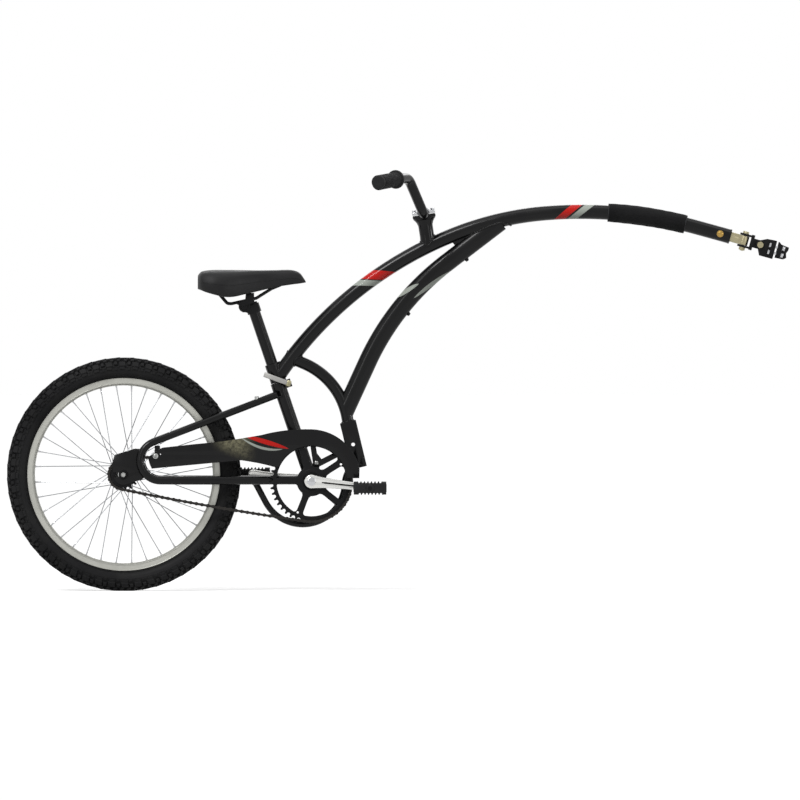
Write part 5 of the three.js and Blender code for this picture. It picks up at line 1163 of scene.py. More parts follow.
def seam(start, along, half_y, half_z, main, main_radius, reach=90, samples=56):
    """Where a tube's skin meets a larger one: start and direction of its axis, then the larger one's centre line."""
    along = Vector(along).normalized()
    up = along.cross(Vector((0, 1, 0))).normalized()
    side = up.cross(along).normalized()

    def outside(spot):
        best = 1e9
        for a, b in zip(main, main[1:]):
            run = b - a
            share = min(max((spot - a).dot(run) / run.length_squared, 0), 1)
            best = min(best, (spot - a - run * share).length)
        return best >= main_radius

    points = []
    for phi in turns(samples):
        base = Vector(start) + side * (half_y * cos(phi)) + up * (half_z * sin(phi))
        far = reach
        while far > -reach and outside(base + along * far):
            far -= 3
        if far <= -reach:
            continue
        near, far = far, min(far + 3, reach)
        for _ in range(14):
            middle = (near + far) / 2
            if outside(base + along * middle):
                far = middle
            else:
                near = middle
        points.append(base + along * near)
    return points


STAY_FRONT = (338, 18, 176)
STAY_CORNER = (-154.6, 92.9, -12.6)
STAY_END = (400, 24, -12.6)


def stay_line(side):
    corners = [Vector((x, side * y, z)) for x, y, z in (STAY_FRONT, STAY_CORNER, STAY_END)]
    return bent_through(corners, 43.6, 2.5)


def build_rear_frame():
    seat_line = [on_seat_axis(0), on_seat_axis(230.5)]
    tube = pipe(on_seat_axis(17), seat_line[1], SEAT_TUBE, 13.0, 0.8, 64)
    stand_in("seat_tube_round", tube, BIKE, PAINT, "seat_tube")
    made("crank_shell", pipe(*crosswise(BB, 34), SHELL, 17.3, 0.9, 72), BIKE, PAINT, "bottom_bracket_shell")
    softened("bottom_bracket_shell", "crank_shell_tab", PAINT, 0.5)
    cups = Form()
    for side, _ in SIDES:
        levels = [(0, 17), (0.4, 18.6), (2.4, 18.6), (3.0, 18.0), (3.0, 13.5), (2.2, 12.8), (2.2, 10)]
        cups.add(turned(levels, (BB.x, side * 34.2, BB.z), (0, side, 0), 60))
    stand_in("crank_cups", cups, BIKE, SATIN, "bottom_bracket_cartridge")
    notch = rounded_block((3.4, 1.2, 3.6), 0.3).moved(Matrix.Translation((16.6, -36.9, 0)))
    repeated("crank_cup_notches", notch, RING, PLASTIC, "bottom_bracket_cartridge", 8, (0, radians(45), 0))

    beads = Form()
    shell_line = crosswise(BB, 60)
    beads.add(ripple(seam(BB, on_seat_axis(1) - BB, SEAT_WELD, SEAT_WELD, shell_line, SHELL), 2.2))
    swell = lambda share: STAY_THIN + (STAY_THICK - STAY_THIN) * min(max((share - 0.4) / 0.25, 0), 1)
    for side, name in SIDES:
        line = even(stay_line(side), 4)
        length = sum((b - a).length for a, b in zip(line, line[1:]))
        stand_in(f"stay_tube_{name}", swept(line, swell, 32), BIKE, PAINT, f"stay_{name}")
        spot = line[round(48 / length * (len(line) - 1))]
        boss = turned([(0, 4.4), (12.6, 4.4), (13.4, 3.8), (13.6, 2.2), (9, 2.0), (9, 0.4)], spot, (0, 0, 1), 28)
        made(f"rack_boss_{name}", boss, BIKE, BRIGHT, f"stay_{name}")
        front, end = (Vector((x, side * y, z)) for x, y, z in (STAY_FRONT, STAY_END))
        beads.add(ripple(seam(front, line[6] - line[0], STAY_THIN, STAY_THIN, seat_line, SEAT_WELD), 1.8))
        beads.add(ripple(seam(end, line[-7] - line[-1], STAY_THICK, STAY_THICK, shell_line, SHELL), 2.0))
        softened(f"dropout_{name}", f"axle_plate_{name}", PAINT, 0.8)
        beads.add(ripple([Vector((-18 + 39 * i / 9, side * 57.8, 22 + 33 * i / 9)) for i in range(10)], 1.2, False))
    path = BendPath((BRIDGE_X, BRIDGE_Z), -62, [(50,), (93, 150), (60, -20)])
    loop_line = path.points(4)
    loop_line += [loop_line[-1].lerp(FOLD_SPOT, i / 6) for i in range(1, 6)]
    loop_form = swept(loop_line, BRIDGE_RADIUS, 28)
    loop_form.add(rod(*crosswise(BRIDGE, 27.4), BRIDGE_RADIUS, 0.6), pipe(*crosswise(FOLD_SPOT, 11.7), 9, 4.4, 0.7, 40))
    stand_in("loop_round", loop_form, BIKE, PAINT, "loop_tube")
    foot = (loop_line[0], loop_line[4] - loop_line[0], BRIDGE_RADIUS, BRIDGE_RADIUS)
    beads.add(ripple(seam(*foot, crosswise(BRIDGE, 30), BRIDGE_RADIUS), 1.6))
    made("rear_frame_welds", beads, BIKE, PAINT, "seat_tube", angle=80)
    bolt = rod(*crosswise(FOLD_SPOT, 19), 4)
    for side, _ in SIDES:
        bolt.add(hex_head(FOLD_SPOT + Vector((0, side * 15.5, 0)), (0, side, 0), 14, 5.4))
    stand_in("fold_bolt_turned", bolt, BIKE, SATIN, "fold_bolt")


def build_seat_clamp():
    softened("seat_collar", "seat_collar_ring", PAINT, 1.2, 3)
    x, z = 20.5, 221.2
    skewer = rod((x, -11.6, z), (x, 20, z), 2.5)
    nut = [(0, 6.4), (0.8, 6.8), (4.6, 6.4, 8, 6.9), (6.2, 5.2), (7.4, 3.6), (7.8, 1)]
    skewer.add(turned(nut, (x, 11.5, z), (0, 1, 0), 40))
    stand_in("skewer_and_nut", skewer, SEAT, CHROME, "quick_release_skewer")
    line = smooth_line([(0, -1.2, 0), (-9, -5.2, 0), (-22, -7.6, 0), (-38, -8, 0), (-50, -6, 0), (-57, -3, 0)], 6)
    squared = lambda v: copysign(abs(v) ** 0.45, v)
    rings = []
    for i, centre in enumerate(line):
        share = i / (len(line) - 1)
        wide, thick = 5.4 - 1.4 * (share < 0.1) - 0.9 * (share > 0.97), 2.4 - 1.0 * share
        rings.append([Vector(centre) + Vector((0, thick * squared(sin(t)), wide * squared(cos(t)))) for t in turns(28)])
    stand_in("lever_blade", skin(rings), LEVER, CAST_SILVER, "quick_release_lever", 45)
    cam = turned([(-7, 3.6), (-6.4, 5.0), (-4.6, 6.1), (-1.6, 6.2), (-1.2, 5.8), (1.2, 5.8), (1.6, 6.2), (4.6, 6.1),
                  (6.4, 5.0), (7, 3.6)], samples=40)
    made("lever_cam", cam, LEVER, ZINC, "quick_release_lever")


# Front frame
BOOM_RADIUS = 15.9
BRACE_RADIUS = 13.2
LOWER_WIDE = 15
LOWER_DEEP = 20.4
SLEEVE_RADIUS = 16.5
TUBE_SIDES = 40
BOOM_ROOT = on_seat_axis(239.8)
BOOM_HEADING = 55
BOOM = BendPath((BOOM_ROOT.x, BOOM_ROOT.z), BOOM_HEADING, [(20,), (846, -33.5), (693, -16.6), (968, -20.3), (76,)])
BOOM_END = BOOM.at(BOOM.length)


def in_channel(across, up):
    tilt = radians(CHANNEL_TILT)
    return FOLD_SPOT + Vector((cos(tilt), 0, sin(tilt))) * across + Vector((-sin(tilt), 0, cos(tilt))) * up


BRACE_START = in_channel(8.7, 88.3)
BRACE = BendPath((BRACE_START.x, BRACE_START.z), 97, [(160, 60), (46,)])
LOWER = BendPath((478.8, 118), 65.4, [(142,), (585, -28), (210,)])
HITCH = BIKE @ Matrix.Translation((BOOM_END[0], 0, BOOM_END[1])) @ Matrix.Rotation(-BOOM_END[2], 4, "Y")


def striped_paint(name, bands, streaks=()):
    """Gloss paint with slanted bands (start, end, slant, colour) and tapered streaks (from, to, sag, width, colour)."""
    finish = gloss_paint(name)
    color, place = finish.base, finish.attribute("tube")
    run, _, rise = finish.split(place)
    for start, end, slant, tone in bands:
        values = {"Run": run, "Rise": rise, "Start": start, "End": end, "Slant": slant}
        color = finish.striped(color, BAND, values, tone)
    for streak in streaks:
        color = finish.streaked(color, place, *streak)
    return finish.put("Base Color", color).material


def tube_piece(name, centres, radius, deep, material, node):
    """A round or oval tube, its corners marked with their run along it and their height off its centre, in metres."""
    form = swept(centres, radius, TUBE_SIDES, deep, start_out=Vector((0, 1, 0)))
    piece = stand_in(name, form, BIKE, material, node)
    run, values = 0.0, []
    for before, centre in zip([centres[0]] + centres, centres):
        run += (centre - before).length
        values += [Vector((run, 0, radius * deep * sin(t))) * MM for t in turns(TUBE_SIDES)]
    marked(piece, "tube", values)
    return piece


def trimmed(piece, point, away):
    """Cuts off what lies on one side of a plane through a point of the bike, and closes the end."""
    spot, out = BIKE @ Vector(point), Vector(away).normalized()
    with editing(piece.data) as bm:
        whole = bm.verts[:] + bm.edges[:] + bm.faces[:]
        cut = bmesh.ops.bisect_plane(bm, geom=whole, plane_co=spot, plane_no=out, clear_outer=True)
        edges = [e for e in cut["geom_cut"] if isinstance(e, bmesh.types.BMEdge)]
        bmesh.ops.holes_fill(bm, edges=edges)
    piece.data.set_sharp_from_angle(angle=radians(32))


def beside_tube(path, x, up):
    """A point beside a tube's centre line, on its upper side, at a given X."""
    side = lambda s: (path.at(s)[0] - up * sin(path.at(s)[2]), path.at(s)[1] + up * cos(path.at(s)[2]))
    return min((side(path.length * i / 800) for i in range(801)), key=lambda spot: abs(spot[0] - x))


def straight_back(path, distance):
    """A path's place at a distance, and the direction that it comes from."""
    x, z, heading = path.at(distance)
    return Vector((x, 0, z)), Vector((-cos(heading), 0, -sin(heading)))


def build_front_frame():
    over, level = lambda x: BOOM.run_where_x(x) * MM, lambda z: BOOM.run_where_z(z) * MM
    boom_paint = striped_paint("Boom paint", [
        (over(968), over(994), -1.25, RED), (over(998.5), over(1021), -1.25, SILVER_GREY),
        (level(416.5), level(429.5), 1.25, SILVER_GREY), (level(430.5), level(450), 1.25, RED),
    ])
    tube_piece("boom_round", BOOM.points(5), BOOM_RADIUS, 1.0, boom_paint, "boom_tube")
    nose = turned([(0, 15.9), (0.6, 16.3), (3.6, 16.3), (4, 15.9), (4, 11.3)], (-4, 0, 0), (1, 0, 0), 48)
    made("boom_nose_ring", nose, HITCH, PAINT, "boom_tube")
    tube_piece("brace_round", BRACE.points(4), BRACE_RADIUS, 1.0, PAINT, "brace_tube")
    on_boom = lambda x: BOOM.at(BOOM.run_where_x(x))
    for i in range(200):
        lower_end = LOWER.length * (0.5 + i / 400)
        x, z, _ = LOWER.at(lower_end)
        if (Vector((x, 0, z)) - Vector((on_boom(x)[0], 0, on_boom(x)[1]))).length < 4:
            break
    beside = lambda x, z, rise: (LOWER.run_near(x, z) * MM, rise)
    lower_paint = striped_paint("Lower tube paint", [], [
        (beside(600, 378, 0.0200), beside(650, 418, 0.0060), 0.0010, 0.0052, SILVER_GREY),
        (beside(654, 394, -0.0080), beside(710, 441, -0.0200), -0.0010, 0.0048, SILVER_GREY),
    ])
    centres = LOWER.points(5, 0, lower_end)
    lower = tube_piece("lower_round", centres, LOWER_WIDE, LOWER_DEEP / LOWER_WIDE, lower_paint, "lower_tube")
    trimmed(lower, in_channel(0, CHANNEL_TOP), in_channel(0, 0) - in_channel(0, 1))
    foot = BRACE.at(34)
    trimmed(lower, (foot[0], 0, foot[1]), (-sin(foot[2]), 0, cos(foot[2])))
    screws = Form()
    for distance in (284, 466):
        x, z, heading = LOWER.at(distance)
        out = Vector((sin(heading), 0, -cos(heading)))
        spot = Vector((x, 0, z)) + out * 19.6
        screws.add(turned([(0, 5), (2.6, 4.6), (3, 4)], spot, out, 28), socket_head(spot + out * 3, out, 3.6, 2.6))
    made("bottle_boss_screws", screws, BIKE, SATIN, "lower_tube")
    sleeve = pipe(on_seat_axis(230.8), on_seat_axis(273.8), SLEEVE_RADIUS, 13.0, 1.0, 64)
    stand_in("seat_sleeve_round", sleeve, BIKE, PAINT, "seat_sleeve")
    softened("fold_channel", "fold_channel_pressed", PAINT, 0.9, 3)

    boom_line = BOOM.points(6)
    heading = radians(BOOM_HEADING)
    root = (BOOM_ROOT, (cos(heading), 0, sin(heading)), BOOM_RADIUS, BOOM_RADIUS)
    beads = ripple(seam(*root, [on_seat_axis(220), on_seat_axis(290)], SLEEVE_RADIUS), 2.4)
    brace = (*straight_back(BRACE, BRACE.length), BRACE_RADIUS, BRACE_RADIUS)
    beads.add(ripple(seam(*brace, boom_line, BOOM_RADIUS), 2.3))
    crotch = (*straight_back(LOWER, lower_end), LOWER_WIDE, LOWER_DEEP)
    beads.add(ripple(seam(*crotch, boom_line, BOOM_RADIUS, 170, 72), 2.3))
    post = (CLAMP_AXIS - AXLE) / MM
    down = Vector((sin(radians(POST_TILT)), 0, -cos(radians(POST_TILT))))
    beads.add(ripple(seam(post + down * 62, -down, 16, 16, boom_line, BOOM_RADIUS), 2.5))
    made("front_frame_welds", beads, BIKE, PAINT, "boom_tube", angle=80)
    foot_ring = [in_channel(8.7 + 13.4 * cos(t), CHANNEL_TOP) + Vector((0, 13.4 * sin(t), 0)) for t in turns(40)]
    made("channel_weld", ripple(foot_ring, 1.7), BIKE, PAINT, "brace_tube", angle=80)
    edge = post + down * 42 + Vector((-down.z, 0, down.x)) * 14
    corner, low, end = (beside_tube(BOOM, edge.x + x, up) for x, up in ((-4, 10), (24, 13), (22, 8)))
    hollow = [(edge.x + x, edge.z + z) for x, z in ((-2, 0), (0, 0), (2.5, -8), (6, -13.5), (12, -16))]
    made("post_gusset", plate([[corner, *hollow, low, end]], -4, 4, 1.4, 2), BIKE, PAINT, "boom_tube")
    along = [724, 732, 742, 752, 764, 778]
    upper = [beside_tube(BOOM, x, -12.5) for x in along]
    under = [beside_tube(LOWER, x, 17) for x in along]
    mouth = (732, (upper[0][1] + under[0][1]) / 2)
    web = plate([upper + under[::-1] + [mouth]], -7, 7, 2.6, 3)
    made("tube_crotch_web", web, BIKE, PAINT, "boom_tube")


PAD_TO_NOSE = 104
PAD_LENGTH = 171


def build_boom_pad():
    end = BOOM.length - PAD_TO_NOSE
    start = end - PAD_LENGTH
    centres = BOOM.points(3.0, start, end)
    outward = lambda run: Vector((-sin(BOOM.at(run)[2]), 0, cos(BOOM.at(run)[2])))
    rings = []
    for i, centre in enumerate(centres):
        share = i / (len(centres) - 1)
        out = outward(start + (end - start) * share)
        swell = 20.2 + 0.7 * sin(pi * share) ** 0.4
        ring = []
        for phi in turns(60):
            pucker = 0.35 * sin(phi * 5 + share * 26) * sin(phi * 3 - share * 17)
            closure = -1.6 * exp(-((phi - 1.5 * pi) / 0.06) ** 2)
            r = swell + pucker + closure
            ring.append(centre + out * (r * sin(phi)) + Vector((0, r * cos(phi), 0)))
        rings.append(ring)
    lip = lambda k, r: [centres[k] + (p - centres[k]).normalized() * r for p in rings[k]]
    whole = [lip(0, 16.4), lip(0, 18.6), *rings, lip(-1, 18.6), lip(-1, 16.4)]
    pad = stand_in("boom_pad_cover", skin(whole), BIKE, PAD_CLOTH, "boom_pad", 60)
    hems = Form()
    for centre, run in ((centres[0], start), (centres[-1], end)):
        ring = [centre + outward(run) * (19.0 * sin(t)) + Vector((0, 19.0 * cos(t), 0)) for t in turns(60)]
        hems.add(swept(ring, 1.5, 8, closed=True))
    made("boom_pad_hems", hems, BIKE, THREAD, "boom_pad")


# Handlebar, about the middle of its clamp
BAR_CORNERS = [(0, 37, 0), (-34, 86, 80), (-58, 140, 78), (-100, 250, 70)]
BAR_RADIUS = 11.1
BAR_BEND = 30
GRIP_LENGTH = 112


def build_handlebar():
    half = [Vector(c) for c in BAR_CORNERS]
    corners = [Vector((c.x, -c.y, c.z)) for c in reversed(half)] + half
    centres = even(bent_through(corners, BAR_BEND, 2.5), 4)
    stand_in("handlebar_tube", swept(centres, BAR_RADIUS, 36), BAR, PAINT, "handlebar")
    ring = turned([(0, BAR_RADIUS), (0.5, BAR_RADIUS + 0.25), (1.0, BAR_RADIUS)], (0, -18.4, 0), (0, 1, 0), 40)
    repeated("handlebar_knurl", ring, BAR, SATIN, "handlebar", 32, step=(0, 1.15, 0))
    for side, name in SIDES:
        inner, tip = (Vector((x, side * y, z)) for x, y, z in BAR_CORNERS[2:])
        along = (tip - inner).normalized()
        end = tip + along * 3.3
        start = end - along * GRIP_LENGTH
        body = turned([
            (0, 12), (0, 18.8), (1.2, 20), (3.6, 20), (5, 18.6), (5.4, 15.6), (9, 13.2), (104, 13.2), (105, 15.6),
            (109.5, 15.6), (111.4, 14.2), (112, 12), (111.6, 6), (111.2, 0.6),
        ], start, along, 56)
        stand_in(f"grip_body_{name}", body, BAR, BAR_RUBBER, f"grip_{name}")
        turn = along.to_track_quat("Z", "Y").to_matrix().to_4x4()
        levels = [(0, 12.9), (0.5, 14.9), (1.1, 15.5), (3.3, 15.5), (3.9, 14.9), (4.4, 12.9)]
        rib = turned(levels, (0, 0, 9.0), samples=44)
        place = BAR @ Matrix.Translation(start) @ turn
        repeated(f"grip_ribs_{name}", rib, place, BAR_RUBBER, f"grip_{name}", 12, step=(0, 0, 7.6))


def build_bar_clamp():
    foot = -70
    post = turned([
        (foot, 16.6), (-56, 16.6), (-50, 16), (-26, 16), (-20, 16.8), (-15, 18.6), (-12, 19),
    ], samples=56)
    cup = rounded_block((51, 38, 7.5), 2.4, (0, 0, -4.2))
    flare = turned([(-22, 15.6), (-17, 17.2), (-12, 20.4), (-9, 22.8), (-5, 23.4)], samples=48)
    flare = flare.moved(Matrix.Diagonal((1.08, 0.82, 1, 1)))
    stand_in("bar_post_forged", post.add(cup, flare), CLAMP, PAINT, "bar_post", 40)
    top = arc(0, 0, 16.1, 26, 154, 28)
    loop = [(-25.5, 0.4), (-12.2, 0.4)] + arc(0, 0, 11.5, 178, 2, 20) + [(12.2, 0.4), (25.5, 0.4), (25.5, 6)] + \
        [(18, 6.8), (15.4, 7.4)] + top + [(-15.4, 7.4), (-18, 6.8), (-25.5, 6)]
    cap = plate([loop], -19, 19, 1.0, 2)
    stand_in("bar_cap_polished", cap, CLAMP, CHROME, "bar_clamp_cap", 40)
    screws = Form()
    for x in (-20.4, 20.4):
        for y in (-13, 13):
            screws.add(turned([(0, 5.6), (0.2, 5.8), (1.0, 5.8)], (x, y, 6.0), (0, 0, 1), 32))
            screws.add(socket_head((x, y, 7), (0, 0, 1), 4.6, 5))
    made("bar_clamp_screws", screws, CLAMP, CHROME, "bar_clamp_cap")


# Saddle and post
SADDLE_REAR = 164
SADDLE_LENGTH = 238
SADDLE_TOP = 452
SADDLE_WIDTH = 155
SADDLE_DEPTH = 60
POST_TOP = 404
POST_RADIUS = 12.7
SADDLE_STATIONS = [
    (0, 0.64, 0.2, 0.71), (0.03, 0.83, 0.07, 0.75), (0.08, 0.94, 0.02, 0.83), (0.16, 1, 0, 0.92), (0.25, 0.97, 0, 1),
    (0.34, 0.83, 0, 0.99), (0.45, 0.61, 0, 0.89), (0.57, 0.43, 0, 0.78), (0.72, 0.33, 0, 0.64), (0.86, 0.3, 0, 0.55),
    (0.94, 0.27, 0.1, 0.51), (0.985, 0.2, 0.33, 0.48), (1, 0.12, 0.43, 0.47),
]
PAD_SECTION = [
    (0, 1), (0.22, 0.998), (0.42, 0.985), (0.6, 0.952), (0.74, 0.9), (0.86, 0.81), (0.94, 0.67), (0.99, 0.5), (1, 0.38),
    (0.99, 0.2), (0.96, 0.06), (0.9, 0), (0.84, 0.03), (0.8, 0.12), (0.76, 0.26), (0.4, 0.29), (0, 0.3),
]


def saddle_ring(station, section):
    along, wide, top, skirt = station
    half = SADDLE_WIDTH / 2 * wide
    low, height = SADDLE_TOP - SADDLE_DEPTH * skirt, SADDLE_DEPTH * (skirt - top)
    x = SADDLE_REAR + SADDLE_LENGTH * along
    spot = lambda side, share, rise: Vector((x, side * half * share, low + height * rise))
    return [spot(1, *p) for p in section] + [spot(-1, *p) for p in reversed(section[1:-1])]


def build_saddle():
    stations = smooth_line(SADDLE_STATIONS, 6)
    section = smooth_line(PAD_SECTION, 3)
    rings = []
    for station in stations:
        ring = saddle_ring(station, section)
        along = station[0]
        dip = 2.4 * exp(-((along - 0.42) / 0.3) ** 2)
        for p in ring:
            if p.z > SADDLE_TOP - SADDLE_DEPTH * station[3] * 0.4:
                p.z -= dip * exp(-(p.y / 13) ** 2)
        rings.append(ring)
    pad = stand_in("saddle_cover", skin(rings), BIKE, VINYL, "saddle", 60)
    piping = Form()
    for side, _ in reversed(SIDES):
        line = []
        for along, wide, top, skirt in stations[3:-2]:
            z = SADDLE_TOP - SADDLE_DEPTH * skirt + SADDLE_DEPTH * (skirt - top) * 0.44
            line.append(Vector((SADDLE_REAR + SADDLE_LENGTH * along, side * (SADDLE_WIDTH / 2 * wide * 1.001), z)))
        piping.add(swept(even(line, 3), 0.75, 8))
    made("saddle_piping", piping, BIKE, VINYL, "saddle")
    rivets = Form()
    for side, _ in SIDES:
        spot = (SADDLE_REAR + 32, side * 30, SADDLE_TOP - 3.4)
        rivets.add(turned([(0, 4.6), (0.8, 4.5), (1.5, 3.4), (1.8, 1.2)], spot, (0, side * 30 / 160, 1), 24))
    for side, _ in SIDES:
        spot = (SADDLE_REAR + 4.0, side * 36, SADDLE_TOP - 26)
        rivets.add(turned([(0, 4.2), (0.8, 4.0), (1.4, 2.8), (1.6, 0.8)], spot, (-1, 0, 0.1), 24))
    made("saddle_rivets", rivets, BIKE, BRIGHT, "saddle")
    softened("saddle_base", "saddle_base_moulded", PLASTIC, 0.6)
    rail = [(0.157, 1, 0.71), (0.272, 1, 1.24), (0.31, 1, 1.25), (0.54, 1, 1.05), (0.68, 0.62, 0.7), (0.76, 0.35, 0.57)]
    half = [(SADDLE_REAR + SADDLE_LENGTH * s[0], 22 * s[1], SADDLE_TOP - SADDLE_DEPTH * s[2]) for s in rail]
    corners = [Vector(c) for c in half] + [Vector((x, -y, z)) for x, y, z in reversed(half)]
    wire = swept(even(bent_through(corners, 7, 1.5), 2.5), 3.5, 20)
    stand_in("saddle_rail_wire", wire, BIKE, SATIN, "saddle_rails")


def build_post():
    head = on_seat_axis(POST_TOP)
    stand_in("seat_post_round", rod(on_seat_axis(231.1), head, POST_RADIUS, 0.8, 56), BIKE, PAINT, "seatpost")
    softened("saddle_clamp", "saddle_clamp_jaws", SATIN, 1.1, 3)
    x, z = head.x - 18.5, head.z + 3
    nuts = Form()
    for side, _ in SIDES:
        nuts.add(hex_head((x, side * 17.2, z), (0, side, 0), 13, 6.5))
        nuts.add(turned([(0, 11), (0.4, 11.3), (1.6, 11.3), (1.8, 11)], (x, side * 17.0, z), (0, side, 0), 40))
    made("saddle_clamp_nuts", nuts, BIKE, SATIN, "saddle_clamp")
    tooth = rounded_block((1.1, 2.2, 3.2), 0.3, (12.6, 0, 0))
    for side, name in SIDES:
        place = placed(AXLE + Vector((x, side * 12.5, z)) * MM)
        repeated(f"saddle_clamp_teeth_{name}", tooth, place, SATIN, "saddle_clamp", 28, (0, 2 * pi / 28, 0))


# Chain guard, about the crank axis
GUARD_FACE = 54.5
GUARD_WALL = 1.8
GUARD_OUTER = 112
GUARD_INNER = 79


def guard_outline():
    """From the rear end over the top and round the front, then back round the ring's opening and along the chain."""
    def curve(a, c, b):
        for t in (k / 12 for k in range(1, 12)):
            yield tuple((1 - t) ** 2 * p + 2 * t * (1 - t) * q + t * t * r for p, q, r in zip(a, c, b))

    return [
        (-352.5, 28), (-357, 38), (-360, 49.4), (-354, 57), (-340, 69.5), (-328, 74.6), (-260, 82), (-194, 88.3),
        (-150, 95.6), (-111, 102.2), *curve((-111, 102.2), (-60, GUARD_OUTER + 4), (-3, GUARD_OUTER + 3)),
        *arc(-3, 3, GUARD_OUTER, 90, 13, 48), (GUARD_OUTER - 6.5, 7),
        (GUARD_INNER, 7), *arc(0, 0, GUARD_INNER, 5, 156, 60),
        (-84, 32), *curve((-84, 32), (-110, 40), (-155, 46.5)), (-155, 46.5),
        *[(-155 - 197.5 * k / 8, 46.5 - 18.5 * k / 8) for k in range(1, 8)],
    ]


def guard_paint():
    """Gloss black with a red and a grey stripe and a soft warm fade ahead of the wheel, on the outer face alone."""
    finish = gloss_paint("Guard paint")
    place = finish.attribute("local")
    x, y, z = finish.split(place)
    outside = finish.ranged(y, -0.0554, -0.0550, 1, 0)
    begins, ends = finish.ranged(x, -0.228, -0.18), finish.ranged(x, -0.165, -0.118, 1, 0)
    low = finish.ranged(finish.maths("MULTIPLY_ADD", x, 0.35, z), -0.012, 0.022)
    spots = finish.ranged(finish.noise(finish.place(), 90, 8, 0.85), 0.34, 0.66, 0.15, 1)
    color = finish.blend(finish.times(outside, begins, ends, low, spots), finish.base, WARM_GREY)
    for streak in (((-0.160, 0.100), (-0.062, 0.0715), -0.0115, 0.0034, SILVER_GREY),
                   ((-0.152, 0.102), (-0.050, 0.072), 0.0, 0.0058, RED)):
        color = finish.streaked(color, place, *streak, outside)
    return finish.put("Base Color", color).material


def build_guard():
    loop = guard_outline()
    outer_face = -GUARD_FACE - GUARD_WALL
    form = plate([loop, circle(-334.5, 59, 2.6, 20)], outer_face, -GUARD_FACE, 0.7, 2)
    edge = [(x, z) for x, z in loop if x > -106 and z > 16 and (z > 100 or x > 20) and hypot(x, z) > 96]
    rings = []
    for i, (x, z) in enumerate(edge):
        before, after = edge[max(i - 1, 0)], edge[min(i + 1, len(edge) - 1)]
        way = Vector((after[0] - before[0], 0, after[1] - before[1])).normalized()
        inward = Vector((way.z, 0, -way.x))
        spot = Vector((x, 0, z)) + inward * 0.1
        low, high = -GUARD_FACE - 1.0, -GUARD_FACE + 19
        rings.append([spot + inward * depth + Vector((0, y, 0)) for depth, y in (
            (0, low), (0, high - 0.6), (0.6, high), (1.3, high), (1.8, high - 0.6), (1.8, low))])
    piece = stand_in("chainguard_shell", form.add(skin(rings)), RING, guard_paint(), "chainguard")
    back = RING.inverted()
    marked(piece, "local", [(back @ v.co) * MM for v in piece.data.vertices])
    softened("guard_front_bracket", "guard_bracket_front", PAINT, 0.7)
    softened("guard_rear_bracket", "guard_bracket_rear", PAINT, 0.7)
    screw = rod((11, -36.8, 41), (11, -24, 41), 2.4)
    screw.add(pan_head((11, -35.6, 41), (0, -1, 0), 5, 2.8))
    stand_in("guard_screw_front", screw, RING, BRIGHT, "guard_screw")
    spot = (-344, outer_face, 56)
    eye = pan_head(spot, (0, -1, 0), 4.6, 2.2).add(turned([(0, 6), (0.5, 6.2), (0.9, 6)], spot, (0, -1, 0), 32))
    made("guard_screw_rear", eye, RING, BRIGHT, "guard_rear_bracket")


# Hitch, along the boom's nose from its front end
TONGUE_BOLT_X = -24
KINGPIN_X = 31
PITCH_PIN_X = 68
TOW_BOLT_Y = 21.5


def thin_washer(start, along, radius, height):
    levels = [(0, radius - 0.2), (0.3, radius), (height - 0.2, radius), (height, radius - 0.2)]
    return turned(levels, start, along, 36)


def build_hitch():
    softened("hitch_tongue", "hitch_tongue_plated", ZINC, 0.8)
    bolt = rod((TONGUE_BOLT_X, -19.6, 0), (TONGUE_BOLT_X, 19.6, 0), 3)
    head = [(0, 5.6), (0.4, 5.8), (2.2, 5.4), (3.4, 3.8), (3.6, 1)]
    bolt.add(turned(head, (TONGUE_BOLT_X, -16.2, 0), (0, -1, 0), 36))
    bolt.add(thin_washer((TONGUE_BOLT_X, -15.9, 0), (0, -1, 0), 7.6, 1))
    bolt.add(hex_head((TONGUE_BOLT_X, 16.2, 0), (0, 1, 0), 10, 3.6))
    stand_in("tongue_bolt_turned", bolt, HITCH, BRASS, "tongue_bolt")
    softened("hitch_yoke", "hitch_yoke_forged", CAST, 1.0, 3)
    top = 15.6
    pin = rod((KINGPIN_X, 0, -top - 7.6), (KINGPIN_X, 0, top + 4.6), 3.9)
    for end, height in ((1, 5), (-1, 6.4)):
        pin.add(hex_head((KINGPIN_X, 0, end * top), (0, 0, end), 13.4, height))
    for end in (-1, 1):
        pin.add(thin_washer((KINGPIN_X, 0, end * (top - 0.9)), (0, 0, end), 7.8, 1.1))
    stand_in("kingpin_turned", pin, HITCH, ZINC, "kingpin")
    softened("tow_clamp_body", "tow_clamp_rear", CAST, 1.3, 3)
    softened("tow_clamp_cap", "tow_clamp_front", CAST, 1.3, 3)
    half = 16.6
    cross = rod((PITCH_PIN_X, -half - 3.6, 0), (PITCH_PIN_X, half + 3.6, 0), 3.9)
    for side, _ in SIDES:
        cross.add(hex_head((PITCH_PIN_X, side * half, 0), (0, side, 0), 13.4, 4.2))
    stand_in("pitch_pin_turned", cross, HITCH, ZINC, "pitch_pin")
    for side, name in SIDES:
        for height, level in ((4.6, "upper"), (-9.5, "lower")):
            y = side * TOW_BOLT_Y
            screw = rod((87.2, y, height), (119, y, height), 2.9)
            screw.add(socket_head((117.3, y, height), (1, 0, 0), 4.9, 5.2, 0.52))
            screw.add(hex_head((91.2, y, height), (-1, 0, 0), 9.6, 4.0))
            screw.add(turned([(0, 5.6), (0.2, 5.8), (0.6, 5.8)], (116.9, y, height), (1, 0, 0), 32))
            stand_in(f"tow_screw_{name}_{level}", screw, HITCH, CHROME, f"tow_bolt_{name}_{level}")


